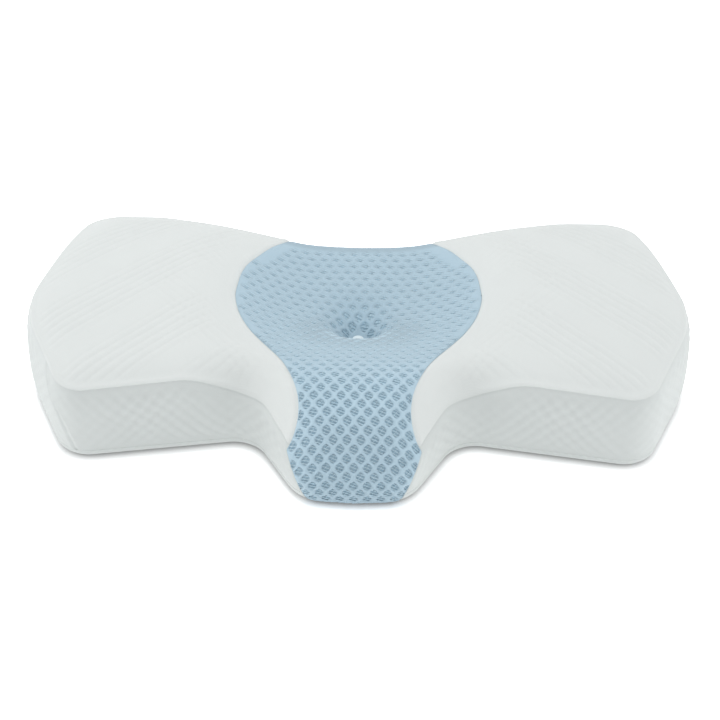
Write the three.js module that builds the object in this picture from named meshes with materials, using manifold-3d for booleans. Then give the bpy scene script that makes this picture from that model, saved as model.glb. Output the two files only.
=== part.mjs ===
// Contoured neck pillow with a zipped cover. A moulded foam core lies in a two-piece liner; round it
// goes a cover of knit panels, with an open mesh panel over the head bowl, the neck roll and the nose.
// A tuft draws the mesh down into the middle of the bowl, and a zip runs along the curved back wall.
// Millimetres, +Z up, the head side towards +Y, the nose towards -Y, standing on its flat underside.
import * as THREE from 'three';
import { mergeVertices } from 'three/addons/utils/BufferGeometryUtils.js';
import Module from 'manifold-3d';

const wasm = await Module();
wasm.setup();

// Plan outline, right half, from the nose round the wing to the middle of the back
const noseHalfWidth = 50;
const noseY = -155;
const noseCrown = 3;
const noseRadius = 42;
const notchX = 96;
const notchY = -77;
const notchRadius = 33;
const wingFrontX = 268;
const wingFrontY = -105;
const wingFrontRadius = 36;
const sideX = 323;
const sideY = 10;
const sideRadius = 115;
const backCornerX = 281;
const backCornerY = 198;
const backCornerRadius = 46;
const backArcHalf = 200;
const backArcRadius = 560;
const backArcEase = 100;
const backMiddleY = 160;

// Heights of the top along the middle line, and the places where they are met
const noseTopHeight = 64;
const noseBrowY = -115;
const noseBrowHeight = 80;
const neckRollY = -72;
const neckRollHeight = 87;
const bowlY = 38;
const bowlHeight = 57;
const bowlBackY = 110;
const bowlBackHeight = 60;
const backMiddleHeight = 73;

// Heights of the top along the wings, and where the bowl's side climbs to them
const wingFrontHeight = 83.5;
const wingBrowY = -40;
const wingBrowHeight = 92;
const wingCrownY = 40;
const wingCrownHeight = 96;
const wingBackY = 120;
const wingBackHeight = 93;
const wingEndHeight = 76;
const bowlFloorX = 40;
const wingFootX = 170;

// Side wall and rounded rim
const undersideInset = 9;
const lowSeamInset = 1.5;
const lowSeamHeight = 9;
const topSeamInset = 7;
const wallHeightShares = [0.27, 0.62, 0.85];
const wallInsetShares = [0, 0.11, 0.43];
const rimWidth = 36;
const rimRingShares = [0.2, 0.5];
const rimFall = 2.2;
const wingRimDrop = 7;
const noseRimDrop = 28;
const noseRimX = 95;
const wingRimX = 160;
const rimBlendY = 40;
const inwardShares = [0.76, 0.52, 0.32];

// Tuft in the middle of the bowl
const tuftY = 38;
const dimpleDepth = 26;
const dimpleRadius = 24;
const dimpleFlare = 1.6;
const dimpleRingShares = [1.05, 0.55];
const tuftSeatRadius = 7;
const buttonRadius = 5.6;
const buttonHeight = 3.4;
const buttonRimHeight = 1.2;
const buttonShoulderShare = 0.85;
const tieRadius = 1;
const anchorRadius = 10;
const anchorThickness = 2.4;

// Layers, from the outside in
const coverThickness = 2.2;
const netThickness = 1.2;
const netStandOff = 1.3;
const liningThickness = 0.6;
const linerThickness = 0.8;
const layerGap = 0.3;

// Mesh panel: half widths and where they are met, from the foot of the nose to the back
const meshFootHalf = 44;
const meshKinkHalf = 58.5;
const meshKinkHeight = 46;
const meshKinkY = -127;
const meshWaistHalf = 50;
const meshWaistY = -108;
const meshNeckHalf = 63;
const meshNeckY = -60;
const meshFlankHalf = 92;
const meshFlankY = -10;
const meshLobeHalf = 116;
const meshLobeY = 52;
const meshHeelHalf = 100;
const meshHeelY = 112;
const meshBackHalf = 66;
const meshHem = 4;
const netRiseShare = 1.3;

// Eyelets of the net: half the pitch across and along, and their six corners as shares of these
const eyeletPitch = 11.2;
const eyeletRowPitch = 12;
const eyeletShares = [[0.5, -0.22], [0.5, 0.22], [0, 0.62], [-0.5, 0.22], [-0.5, -0.22], [0, -0.62]];

// Zip along the back wall
const zipHeight = 28;
const zipEndMargin = 32;
const zipSlotHalf = 8.5;
const tapeThickness = 0.6;
const coilHalfHeight = 3;
const coilThickness = 2.2;
const coilParting = 1.2;
const coilBevel = 0.6;
const stopLength = 5;
const stopThickness = 2.8;

// Slider and its pull
const sliderLength = 11;
const sliderNoseHalf = 4.7;
const sliderTailHalf = 4.1;
const sliderPlate = 1.6;
const sliderInnerPlate = 0.9;
const sliderFlange = 0.9;
const sliderPost = 3;
const sliderCorner = 1.4;
const coilClearance = 0.4;
const bailHalfLength = 3.4;
const bailHalfWidth = 1.2;
const bailThickness = 1.1;
const bailRise = 2.6;
const pullLength = 24;
const pullTipHalf = 3.5;
const pullNeckHalf = 2.8;
const pullThickness = 1.4;
const pullBarRadius = 0.8;
const pullEyeLength = 5.4;
const pullClearance = 0.5;
const pullGripLength = 7;
const pullGripHalf = 1.5;

// Working values that are not sizes of the pillow
const cutOverrun = 12;
const cornerSteps = 4;
const easeSteps = 1;
const backArcSteps = 6;
const straightStep = 70;
const zipSteps = 20;
const roundSides = 24;
const smallSides = 12;
const meshEdgeSteps = 14;
const topSteps = 64;
const inwardStationSteps = [2, 2, 4];
const dimpleStationSteps = 4;
const linerSeamSteps = 2;

// Solids in and out of the cutting library
function toSolid(geometry) {
  const plain = new THREE.BufferGeometry();
  plain.setAttribute('position', geometry.getAttribute('position'));
  if (geometry.index) plain.setIndex(geometry.index);
  const merged = mergeVertices(plain);
  return new wasm.Manifold(new wasm.Mesh({
    numProp: 3,
    vertProperties: new Float32Array(merged.getAttribute('position').array),
    triVerts: new Uint32Array(merged.index.array),
  }));
}

function toGeometry(solid) {
  const mesh = solid.getMesh();
  const geometry = new THREE.BufferGeometry();
  geometry.setAttribute('position', new THREE.BufferAttribute(mesh.vertProperties, 3));
  geometry.setIndex(new THREE.BufferAttribute(mesh.triVerts, 1));
  return geometry;
}

// Closed solid from loose triangles; triangles that shrink to a line at a pole are left out
function closedGeometry(triangles) {
  const places = [];
  for (const [a, b, c] of triangles) {
    if (a.equals(b) || b.equals(c) || c.equals(a)) continue;
    places.push(...a.toArray(), ...b.toArray(), ...c.toArray());
  }
  const geometry = new THREE.BufferGeometry();
  geometry.setAttribute('position', new THREE.Float32BufferAttribute(places, 3));
  return mergeVertices(geometry);
}

function extrude(shape, depth, curveSegments = smallSides) {
  return new THREE.ExtrudeGeometry(shape, { depth, bevelEnabled: false, curveSegments });
}

// An upright cylinder between two heights
function post(radius, low, high, sides, x = 0, y = 0) {
  const geometry = new THREE.CylinderGeometry(radius, radius, high - low, sides);
  geometry.rotateX(Math.PI / 2);
  geometry.translate(x, y, (low + high) / 2);
  return geometry;
}

function box(lowCorner, highCorner) {
  const span = highCorner.clone().sub(lowCorner);
  const middle = highCorner.clone().add(lowCorner).divideScalar(2);
  return new THREE.BoxGeometry(span.x, span.y, span.z).translate(middle.x, middle.y, middle.z);
}

// The points of an arc that rounds the corner between two straight edges
function roundCorner(before, corner, after, radius, steps) {
  const back = before.clone().sub(corner);
  const ahead = after.clone().sub(corner);
  const longest = Math.min(back.length(), ahead.length()) / 2;
  back.normalize();
  ahead.normalize();
  const half = Math.acos(THREE.MathUtils.clamp(back.dot(ahead), -1, 1)) / 2;
  const reach = Math.min(radius / Math.tan(half), longest);
  const bend = reach * Math.tan(half);
  const centre = back.clone().add(ahead).normalize().multiplyScalar(bend / Math.sin(half)).add(corner);
  const first = back.multiplyScalar(reach).add(corner).sub(centre);
  const last = ahead.multiplyScalar(reach).add(corner).sub(centre);
  const turn = Math.atan2(first.cross(last), first.dot(last));
  const points = [];
  for (let k = 0; k <= steps; k += 1) {
    points.push(first.clone().rotateAround(new THREE.Vector2(), (turn * k) / steps).add(centre));
  }
  return points;
}

// Points between two ends of a straight edge, the ends left out
function betweenPoints(from, to) {
  const count = Math.max(1, Math.round(from.distanceTo(to) / straightStep));
  const points = [];
  for (let k = 1; k < count; k += 1) points.push(from.clone().lerp(to, k / count));
  return points;
}

// Centre of the arc that the back wall and the zip follow
const backArcCentre = new THREE.Vector2(0, backMiddleY + backArcRadius);

function backArcPoint(angle, inset = 0) {
  const reach = backArcRadius + inset;
  return new THREE.Vector2(reach * Math.sin(angle), backArcCentre.y - reach * Math.cos(angle));
}

// Right half of the outline, from the middle of the nose to the middle of the back
function halfOutline() {
  const arcEnd = Math.asin(backArcHalf / backArcRadius);
  const corners = [
    [new THREE.Vector2(noseHalfWidth, noseY), noseRadius, cornerSteps],
    [new THREE.Vector2(notchX, notchY), notchRadius, cornerSteps],
    [new THREE.Vector2(wingFrontX, wingFrontY), wingFrontRadius, cornerSteps],
    [new THREE.Vector2(sideX, sideY), sideRadius, cornerSteps - 1],
    [new THREE.Vector2(backCornerX, backCornerY), backCornerRadius, cornerSteps],
    [backArcPoint(arcEnd), backArcEase, easeSteps],
  ];
  const arc = [];
  for (let k = backArcSteps - 1; k >= 0; k -= 1) arc.push(backArcPoint((arcEnd * k) / backArcSteps));
  const start = new THREE.Vector2(0, noseY - noseCrown);
  const places = [start, ...corners.map(([corner]) => corner), arc[0]];
  const points = [start];
  corners.forEach(([corner, radius, steps], k) => {
    const rounded = roundCorner(places[k], corner, places[k + 2], radius, steps);
    points.push(...betweenPoints(points[points.length - 1], rounded[0]), ...rounded);
  });
  points.push(...arc);
  return points;
}

const rightHalf = halfOutline();
const halfCount = rightHalf.length - 1;
const leftHalf = rightHalf.slice(1, halfCount).reverse().map((p) => new THREE.Vector2(-p.x, p.y));
const outline = [...rightHalf, ...leftHalf];
const stationCount = outline.length;

// Stations where the back arc starts and ends, at the ease into the straight part
const backFirst = halfCount - backArcSteps + 1;
const backLast = stationCount - backFirst;

// Outward direction at each station, square to its neighbours
const outward = outline.map((point, i) => {
  const ahead = outline[(i + 1) % stationCount];
  const behind = outline[(i + stationCount - 1) % stationCount];
  return new THREE.Vector2(ahead.y - behind.y, behind.x - ahead.x).normalize();
});

// Smooth height along a profile of (place, height) points
function crownHeight(profile, place) {
  const last = profile.length - 1;
  const at = THREE.MathUtils.clamp(place, profile[0].x, profile[last].x);
  let k = 0;
  while (k < last - 1 && at > profile[k + 1].x) k += 1;
  const slope = (j) => {
    const a = profile[Math.max(j - 1, 0)];
    const b = profile[Math.min(j + 1, last)];
    return (b.y - a.y) / (b.x - a.x);
  };
  const span = profile[k + 1].x - profile[k].x;
  const t = (at - profile[k].x) / span;
  const t2 = t * t;
  const t3 = t2 * t;
  const ends = profile[k].y * (2 * t3 - 3 * t2 + 1) + profile[k + 1].y * (3 * t2 - 2 * t3);
  const slopes = slope(k) * (t3 - 2 * t2 + t) + slope(k + 1) * (t3 - t2);
  return ends + slopes * span;
}

const middleCrown = [
  new THREE.Vector2(noseY, noseTopHeight),
  new THREE.Vector2(noseBrowY, noseBrowHeight),
  new THREE.Vector2(neckRollY, neckRollHeight),
  new THREE.Vector2(bowlY, bowlHeight),
  new THREE.Vector2(bowlBackY, bowlBackHeight),
  new THREE.Vector2(backMiddleY, backMiddleHeight),
];
const wingCrown = [
  new THREE.Vector2(wingFrontY, wingFrontHeight),
  new THREE.Vector2(wingBrowY, wingBrowHeight),
  new THREE.Vector2(wingCrownY, wingCrownHeight),
  new THREE.Vector2(wingBackY, wingBackHeight),
  new THREE.Vector2(backCornerY, wingEndHeight),
];

const seatHeight = bowlHeight - dimpleDepth;

// Height of the top: bowl and neck roll in the middle, wings at the sides, the tuft's dimple
function topHeight(x, y) {
  const wing = THREE.MathUtils.smoothstep(Math.abs(x), bowlFloorX, wingFootX);
  const height = THREE.MathUtils.lerp(crownHeight(middleCrown, y), crownHeight(wingCrown, y), wing);
  const away = Math.max(0, Math.hypot(x, y - tuftY) - tuftSeatRadius);
  return THREE.MathUtils.lerp(height, seatHeight, Math.exp(-((away / dimpleRadius) ** dimpleFlare)));
}

// How far the rounded rim has fallen below the top, at a distance in from the outline
function rimDrop(x, y, inset) {
  const wing = THREE.MathUtils.smoothstep(Math.abs(x), noseRimX, wingRimX);
  const behind = THREE.MathUtils.smoothstep(y, -rimBlendY, rimBlendY);
  const full = THREE.MathUtils.lerp(noseRimDrop, wingRimDrop, Math.max(wing, behind));
  const left = Math.max(0, 1 - (inset - topSeamInset) / rimWidth);
  return full * left ** rimFall;
}

function insetPoint(i, inset) {
  return outline[i].clone().addScaledVector(outward[i], -inset);
}

function rimPoint(i, inset) {
  const p = insetPoint(i, inset);
  return new THREE.Vector3(p.x, p.y, topHeight(p.x, p.y) - rimDrop(p.x, p.y, inset));
}

// Rings of the outer surface, from the middle of the underside, up the wall, to the tuft
const tuftPlace = new THREE.Vector2(0, tuftY);
const rimInsets = rimRingShares.map((share) => topSeamInset + rimWidth * share);
const rimEnd = rimInsets[rimInsets.length - 1];

function flatRing(inset, height) {
  return outline.map((unused, i) => {
    const p = insetPoint(i, inset);
    return new THREE.Vector3(p.x, p.y, height);
  });
}

function wallRing(heightShare, insetShare) {
  return outline.map((unused, i) => {
    const seam = rimPoint(i, topSeamInset).z;
    const p = insetPoint(i, topSeamInset * insetShare);
    return new THREE.Vector3(p.x, p.y, THREE.MathUtils.lerp(lowSeamHeight, seam, heightShare));
  });
}

// Rings near the tuft are short, so their points are shared by two or four stations
function sharedStation(i, spacing) {
  if (i > halfCount) return (stationCount - sharedStation(stationCount - i, spacing)) % stationCount;
  return i - (i % spacing);
}

function sharedRing(spacing, place) {
  return outline.map((unused, i) => place(sharedStation(i, spacing)));
}

function inwardRing(share, spacing) {
  return sharedRing(spacing, (i) => {
    const edge = insetPoint(i, rimEnd);
    const p = tuftPlace.clone().lerp(edge, share);
    const inset = rimEnd + p.distanceTo(edge);
    return new THREE.Vector3(p.x, p.y, topHeight(p.x, p.y) - rimDrop(p.x, p.y, inset));
  });
}

function dimpleRing(radius) {
  return sharedRing(dimpleStationSteps, (i) => {
    const angle = (i / stationCount) * Math.PI * 2 - Math.PI / 2;
    const p = new THREE.Vector2(Math.cos(angle), Math.sin(angle)).multiplyScalar(radius).add(tuftPlace);
    return new THREE.Vector3(p.x, p.y, topHeight(p.x, p.y));
  });
}

const undersideRings = [outline.map(() => new THREE.Vector3(0, tuftY, 0)), flatRing(undersideInset, 0)];
const rings = [
  ...undersideRings,
  flatRing(lowSeamInset, lowSeamHeight),
  ...wallHeightShares.map((share, k) => wallRing(share, wallInsetShares[k])),
  wallRing(1, 1),
  ...rimInsets.map((inset) => outline.map((unused, i) => rimPoint(i, inset))),
  ...inwardShares.map((share, k) => inwardRing(share, inwardStationSteps[k])),
  ...dimpleRingShares.map((share) => dimpleRing(dimpleRadius * share)),
  dimpleRing(tuftSeatRadius),
  outline.map(() => new THREE.Vector3(0, tuftY, seatHeight)),
];
const lowSeam = undersideRings.length;
const linerSeam = lowSeam + linerSeamSteps;
const topSeam = lowSeam + wallHeightShares.length + 1;
const poleRing = rings.length - 1;
const firstInward = topSeam + rimInsets.length + 1;
const firstDimple = firstInward + inwardShares.length;

function spacingAt(r) {
  if (r < firstInward) return 1;
  return r < firstDimple ? inwardStationSteps[r - firstInward] : dimpleStationSteps;
}

// Face direction of the patch between two stations and two rings
function patchNormal(i, next, r) {
  const across = rings[r + 1][next].clone().sub(rings[r][i]);
  const other = rings[r + 1][i].clone().sub(rings[r][next]);
  return across.cross(other).normalize();
}

// Inward shift that keeps a layer's thickness true where the surface bends
function shiftAt(station, r) {
  if (r === 0) return new THREE.Vector3(0, 0, 1);
  if (r === poleRing) return new THREE.Vector3(0, 0, -1);
  const spacing = spacingAt(r);
  const i = sharedStation(station, spacing);
  const before = sharedStation((i + stationCount - spacing) % stationCount, spacing);
  const next = sharedStation((i + spacing) % stationCount, spacing);
  const around = [patchNormal(i, next, r - 1), patchNormal(before, i, r - 1),
    patchNormal(i, next, r), patchNormal(before, i, r)];
  const mean = around.reduce((sum, n) => sum.add(n), new THREE.Vector3()).normalize();
  const grip = around.reduce((sum, n) => sum + n.dot(mean), 0) / around.length;
  return mean.multiplyScalar(-1 / grip);
}

const layerShift = rings.map((ring, r) => ring.map((unused, i) => shiftAt(i, r)));

function layerPoint(i, r, depth) {
  return rings[r][i].clone().addScaledVector(layerShift[r][i], depth);
}

// A quad as two triangles, in the order that faces outwards
function quad(a, b, c, d) {
  return [[a, b, c], [a, c, d]];
}

// The same for the patch after a station, split so that the left half mirrors the right
function patch(i, a, b, c, d) {
  return i < halfCount ? quad(a, b, c, d) : quad(b, c, d, a);
}

const flip = ([a, b, c]) => [a, c, b];

// A solid block that fills the surface up to a depth below it
function filledLayer(depth) {
  const triangles = [];
  for (let r = 0; r < poleRing; r += 1) {
    for (let i = 0; i < stationCount; i += 1) {
      const next = (i + 1) % stationCount;
      triangles.push(...patch(i, layerPoint(i, r, depth), layerPoint(next, r, depth),
        layerPoint(next, r + 1, depth), layerPoint(i, r + 1, depth)));
    }
  }
  return closedGeometry(triangles);
}

// A sheet of cloth between two depths over the cells that it covers. Its free edges are set back by
// half a gap, so that two panels sewn along one seam stay apart there.
function sheet(covers, outerDepth, innerDepth) {
  const has = (i, r) => r >= 0 && r < poleRing && covers((i + stationCount) % stationCount, r);
  const corner = (station, r, depth) => {
    const i = (station + stationCount) % stationCount;
    const place = layerPoint(i, r, depth);
    if (r === 0 || r === poleRing) return place;
    const below = has(i, r - 1) || has(i - 1, r - 1);
    const above = has(i, r) || has(i - 1, r);
    const left = has(i - 1, r - 1) || has(i - 1, r);
    const right = has(i, r - 1) || has(i, r);
    const moved = place.clone();
    const pull = (j, q) => {
      const goal = layerPoint((j + stationCount) % stationCount, q, depth).sub(place);
      moved.add(goal.setLength(layerGap / 2));
    };
    if (!below) pull(i, r + 1);
    if (!above) pull(i, r - 1);
    if (!left) pull(i + 1, r);
    if (!right) pull(i - 1, r);
    return moved;
  };
  const triangles = [];
  for (let r = 0; r < poleRing; r += 1) {
    for (let i = 0; i < stationCount; i += 1) {
      if (!has(i, r)) continue;
      const out = [corner(i, r, outerDepth), corner(i + 1, r, outerDepth),
        corner(i + 1, r + 1, outerDepth), corner(i, r + 1, outerDepth)];
      const inn = [corner(i, r, innerDepth), corner(i + 1, r, innerDepth),
        corner(i + 1, r + 1, innerDepth), corner(i, r + 1, innerDepth)];
      triangles.push(...patch(i, ...out), ...patch(i, ...inn).map(flip));
      if (!has(i, r - 1)) triangles.push(...quad(inn[0], inn[1], out[1], out[0]));
      if (!has(i + 1, r)) triangles.push(...quad(inn[1], inn[2], out[2], out[1]));
      if (!has(i, r + 1)) triangles.push(...quad(inn[2], inn[3], out[3], out[2]));
      if (!has(i - 1, r)) triangles.push(...quad(inn[3], inn[0], out[0], out[3]));
    }
  }
  return closedGeometry(triangles);
}

// Depths of the layers below the outer surface
const liningDepth = coverThickness - liningThickness;
const linerDepth = coverThickness + layerGap;
const linerInner = linerDepth + linerThickness;
const coreDepth = linerInner + layerGap;

// Which cells each panel covers
const isBackWall = (i, r) => r >= lowSeam && r < topSeam && i >= backFirst && i < backLast;
const isSideWall = (i, r) => r >= lowSeam && r < topSeam && !(i >= backFirst && i < backLast);
const isTop = (i, r) => r >= topSeam;
const isMeshRun = (i, r) => isTop(i, r) || isSideWall(i, r);

// Edge of the mesh panel seen from above: (half width, place) from the kink to past the back
const meshEdge = new THREE.SplineCurve([
  new THREE.Vector2(meshKinkHalf, meshKinkY),
  new THREE.Vector2(meshWaistHalf, meshWaistY),
  new THREE.Vector2(meshNeckHalf, meshNeckY),
  new THREE.Vector2(meshFlankHalf, meshFlankY),
  new THREE.Vector2(meshLobeHalf, meshLobeY),
  new THREE.Vector2(meshHeelHalf, meshHeelY),
  new THREE.Vector2(meshBackHalf, backMiddleY),
]).getPoints(meshEdgeSteps);

// The edge moved outwards by a margin, with its two ends kept level
function grownEdge(margin) {
  return meshEdge.map((point, k) => {
    const ahead = meshEdge[Math.min(k + 1, meshEdge.length - 1)];
    const behind = meshEdge[Math.max(k - 1, 0)];
    const away = new THREE.Vector2(ahead.y - behind.y, behind.x - ahead.x).setLength(margin);
    const level = k === 0 || k === meshEdge.length - 1;
    return new THREE.Vector2(point.x + (level ? margin : away.x), point.y + (level ? 0 : away.y));
  });
}

// Cutter in the shape of the mesh panel: the plan outline over the top, and a tapered apron
// that follows the nose down to the underside. Trimmed, it stops at the seams that hem the net.
function meshCutter(margin, trimmed = false) {
  const edge = grownEdge(margin);
  const backHalf = edge[edge.length - 1].x;
  const trim = topSeamInset + netThickness + layerGap;
  const backAngle = Math.asin(backHalf / (backArcRadius + trim));
  const beyond = new THREE.Vector2(backHalf, backCornerY + cutOverrun);
  const arc = [1, 0.5, 0].map((share) => backArcPoint(backAngle * share, trim));
  const right = trimmed ? [...edge.slice(0, -1), ...arc] : [...edge, beyond];
  const left = right.filter((p) => p.x > layerGap).map((p) => new THREE.Vector2(-p.x, p.y)).reverse();
  const tall = wingCrownHeight + cutOverrun * 2;
  const plan = extrude(new THREE.Shape([...right, ...left]), tall).translate(0, 0, -cutOverrun);
  const foot = new THREE.Vector2(meshFootHalf + margin, lowSeamHeight + (trimmed ? netThickness : 0));
  const apronHalf = [
    ...(trimmed ? [] : [new THREE.Vector2(foot.x, -cutOverrun)]),
    foot,
    new THREE.Vector2(meshKinkHalf + margin, meshKinkHeight),
    new THREE.Vector2(meshKinkHalf + margin, wingCrownHeight + cutOverrun),
  ];
  const apronLeft = apronHalf.map((p) => new THREE.Vector2(-p.x, p.y)).reverse();
  const reach = meshKinkY + layerGap - (noseY - noseCrown - cutOverrun);
  const apron = extrude(new THREE.Shape([...apronHalf, ...apronLeft]), reach);
  apron.rotateX(Math.PI / 2);
  apron.translate(0, meshKinkY + layerGap, 0);
  return toSolid(plan).add(toSolid(apron));
}

// One side of the pillow, for parting what a cutter has left in two
function sideBox(side) {
  const reach = sideX + cutOverrun;
  const low = new THREE.Vector3(side < 0 ? -reach : 0, noseY - cutOverrun, -cutOverrun);
  const high = new THREE.Vector3(side < 0 ? 0 : reach, backCornerY + cutOverrun, wingCrownHeight + cutOverrun);
  return toSolid(box(low, high));
}

// Upright bore for the tuft's tie through every layer in the middle of the bowl
const tieBore = toSolid(post(tieRadius + layerGap, -cutOverrun, bowlHeight, smallSides, 0, tuftY));

// The foam core, with the tie's bore and a shallow pocket for its anchor
function foamCore() {
  const pocketTop = coreDepth + anchorThickness + layerGap;
  const pocket = post(anchorRadius + layerGap, -cutOverrun, pocketTop, roundSides, 0, tuftY);
  return toSolid(filledLayer(coreDepth)).subtract(tieBore).subtract(toSolid(pocket));
}

const linerUpper = () => toSolid(sheet((i, r) => r >= linerSeam, linerDepth, linerInner)).subtract(tieBore);
const linerLower = () => toSolid(sheet((i, r) => r < linerSeam, linerDepth, linerInner));
const bottomPanel = () => toSolid(sheet((i, r) => r < lowSeam, 0, coverThickness));

function coverPanel(side) {
  return toSolid(sheet(isTop, 0, coverThickness)).subtract(meshCutter(layerGap / 2)).intersect(sideBox(side));
}

function sideGusset(side) {
  return toSolid(sheet(isSideWall, 0, coverThickness)).subtract(meshCutter(layerGap / 2)).intersect(sideBox(side));
}

function meshLining() {
  const run = toSolid(sheet(isMeshRun, liningDepth, coverThickness));
  return run.intersect(meshCutter(-layerGap / 2)).subtract(tieBore);
}

// Where a ring crosses the plane at x, on its front or on its back
function ringCrossing(ring, x, front) {
  let best = null;
  for (let i = 0; i < stationCount; i += 1) {
    const a = ring[i];
    const b = ring[(i + 1) % stationCount];
    if ((a.x <= x) === (b.x <= x)) continue;
    const p = a.clone().lerp(b, (x - a.x) / (b.x - a.x));
    if (best === null || (front ? p.y < best.y : p.y > best.y)) best = p;
  }
  return best;
}

// How far the faceted surface lies from a point along a direction, zero where it isn't within reach
const surfaceSides = new THREE.MeshBasicMaterial({ side: THREE.DoubleSide });
const wholeSurface = new THREE.Mesh(filledLayer(0), surfaceSides);

function surfaceAlong(point, direction, reach) {
  const hits = new THREE.Raycaster(point, direction, 0, reach).intersectObject(wholeSurface);
  return hits.length > 0 ? hits[0].distance : 0;
}

// The line over the outer surface in the plane at x, from under the front edge to under the back edge
function profileAt(x) {
  const walls = (front) => rings.slice(1, topSeam + 1).map((ring) => ringCrossing(ring, x, front));
  const front = walls(true);
  const back = walls(false).reverse();
  const start = front[front.length - 1];
  const top = [];
  for (let k = 1; k < topSteps; k += 1) {
    const p = start.clone().lerp(back[0], k / topSteps).setZ(wingCrownHeight + cutOverrun);
    p.z -= surfaceAlong(p, new THREE.Vector3(0, 0, -1), p.z);
    top.push(p);
  }
  return [...front, ...top, ...back];
}

// Distances along a profile, counted from where it passes level with the tuft
function profileRuns(profile) {
  const runs = [0];
  for (let k = 1; k < profile.length; k += 1) runs.push(runs[k - 1] + profile[k].distanceTo(profile[k - 1]));
  const k = profile.findLastIndex((p) => p.y <= tuftY) + 1;
  const share = (tuftY - profile[k - 1].y) / (profile[k].y - profile[k - 1].y);
  const start = THREE.MathUtils.lerp(runs[k - 1], runs[k], share);
  return runs.map((run) => run - start);
}

function pointAlong(profile, runs, run) {
  const held = THREE.MathUtils.clamp(run, runs[0], runs[runs.length - 1]);
  const k = Math.max(1, runs.findIndex((value) => value >= held));
  return profile[k - 1].clone().lerp(profile[k], (held - runs[k - 1]) / (runs[k] - runs[k - 1]));
}

// Half width of the mesh panel at a place on the surface
function meshHalfAt(p) {
  if (p.y < meshKinkY) {
    const rise = THREE.MathUtils.clamp((p.z - lowSeamHeight) / (meshKinkHeight - lowSeamHeight), 0, 1);
    return THREE.MathUtils.lerp(meshFootHalf, meshKinkHalf, rise);
  }
  const k = meshEdge.findIndex((q) => q.y > p.y);
  if (k < 1) return meshBackHalf;
  const share = (p.y - meshEdge[k - 1].y) / (meshEdge[k].y - meshEdge[k - 1].y);
  return THREE.MathUtils.lerp(meshEdge[k - 1].x, meshEdge[k].x, share);
}

// Places of the net's lattice on the surface: columns across, rows along each column's profile
const columnReach = Math.ceil(meshLobeHalf / eyeletPitch) + 1;
const rowReach = Math.ceil((backCornerY - noseY) / eyeletRowPitch);
const lattice = [];
for (let column = -columnReach; column <= columnReach; column += 1) {
  const profile = profileAt(column * eyeletPitch);
  const runs = profileRuns(profile);
  const places = [];
  for (let row = -rowReach; row <= rowReach; row += 1) {
    places.push(pointAlong(profile, runs, row * eyeletRowPitch));
  }
  lattice.push(places);
}

function latticePlace(column, row) {
  const i = THREE.MathUtils.clamp(column + columnReach, 0, lattice.length - 1);
  const j = THREE.MathUtils.clamp(row + rowReach, 0, lattice[i].length - 1);
  return lattice[i][j];
}

function latticeNormal(column, row) {
  const across = latticePlace(column + 1, row).clone().sub(latticePlace(column - 1, row));
  const along = latticePlace(column, row + 1).clone().sub(latticePlace(column, row - 1));
  return across.cross(along).normalize();
}

// The lattice is raised where the straight net between two places would cut into the surface
const around = [[1, 0], [1, 1], [0, 1], [-1, 1], [-1, 0], [-1, -1], [0, -1], [1, -1]];

function latticeDip(column, row) {
  const place = latticePlace(column, row);
  const normal = latticeNormal(column, row);
  const dips = around.map(([c, r]) => {
    const half = place.clone().add(latticePlace(column + c, row + r)).divideScalar(2);
    return surfaceAlong(half, normal, coreDepth);
  });
  return Math.max(...dips) * netRiseShare;
}

const latticeRise = lattice.map((places, i) => places.map((place, j) => latticeDip(i - columnReach, j - rowReach)));

function netPlace(column, row, lift) {
  const rise = latticeRise[column + columnReach][row + rowReach];
  return latticePlace(column, row).clone().addScaledVector(latticeNormal(column, row), lift + rise);
}

const tileCorners = [[1, 0], [0, 1], [-1, 0], [0, -1]];

// How much room a tile's corners leave inside the panel; the least one counts
function tileRoom(column, row) {
  const rooms = tileCorners.map(([c, r]) => {
    const p = latticePlace(column + c, row + r);
    return Math.min(meshHalfAt(p) - Math.abs(p.x), backMiddleY - topSeamInset - p.y, p.z - lowSeamHeight);
  });
  return { least: Math.min(...rooms), most: Math.max(...rooms) };
}

function isTile(column, row) {
  if ((column + row) % 2 === 0 || Math.abs(column) >= columnReach || Math.abs(row) >= rowReach) return false;
  return tileRoom(column, row).most > 0;
}

// A place inside a tile, as shares of the way from its middle to its corners
function tilePoint(column, row, u, v, lift) {
  const middle = netPlace(column, row, lift);
  const aside = netPlace(column + Math.sign(u), row, lift).sub(middle).multiplyScalar(Math.abs(u));
  const along = netPlace(column, row + Math.sign(v), lift).sub(middle).multiplyScalar(Math.abs(v));
  return middle.add(aside).add(along);
}

// One diamond of the net: a ring of triangles from its corners to a six-sided eyelet
function tileFace(column, row, lift, eyelet) {
  const corners = tileCorners.map(([c, r]) => netPlace(column + c, row + r, lift));
  const [right, ahead, left, behind] = corners;
  if (!eyelet) {
    const middle = tilePoint(column, row, 0, 0, lift);
    const fan = corners.map((corner, k) => [middle, corner, corners[(k + 1) % corners.length]]);
    return { corners, rim: [], triangles: fan };
  }
  const rim = eyeletShares.map(([u, v]) => tilePoint(column, row, u, v, lift));
  const triangles = [
    [right, rim[1], rim[0]], [right, ahead, rim[1]], [ahead, rim[2], rim[1]],
    [ahead, left, rim[2]], [left, rim[3], rim[2]], [left, rim[4], rim[3]],
    [left, behind, rim[4]], [behind, rim[5], rim[4]], [behind, right, rim[5]], [right, rim[0], rim[5]],
  ];
  return { corners, rim, triangles };
}

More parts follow.
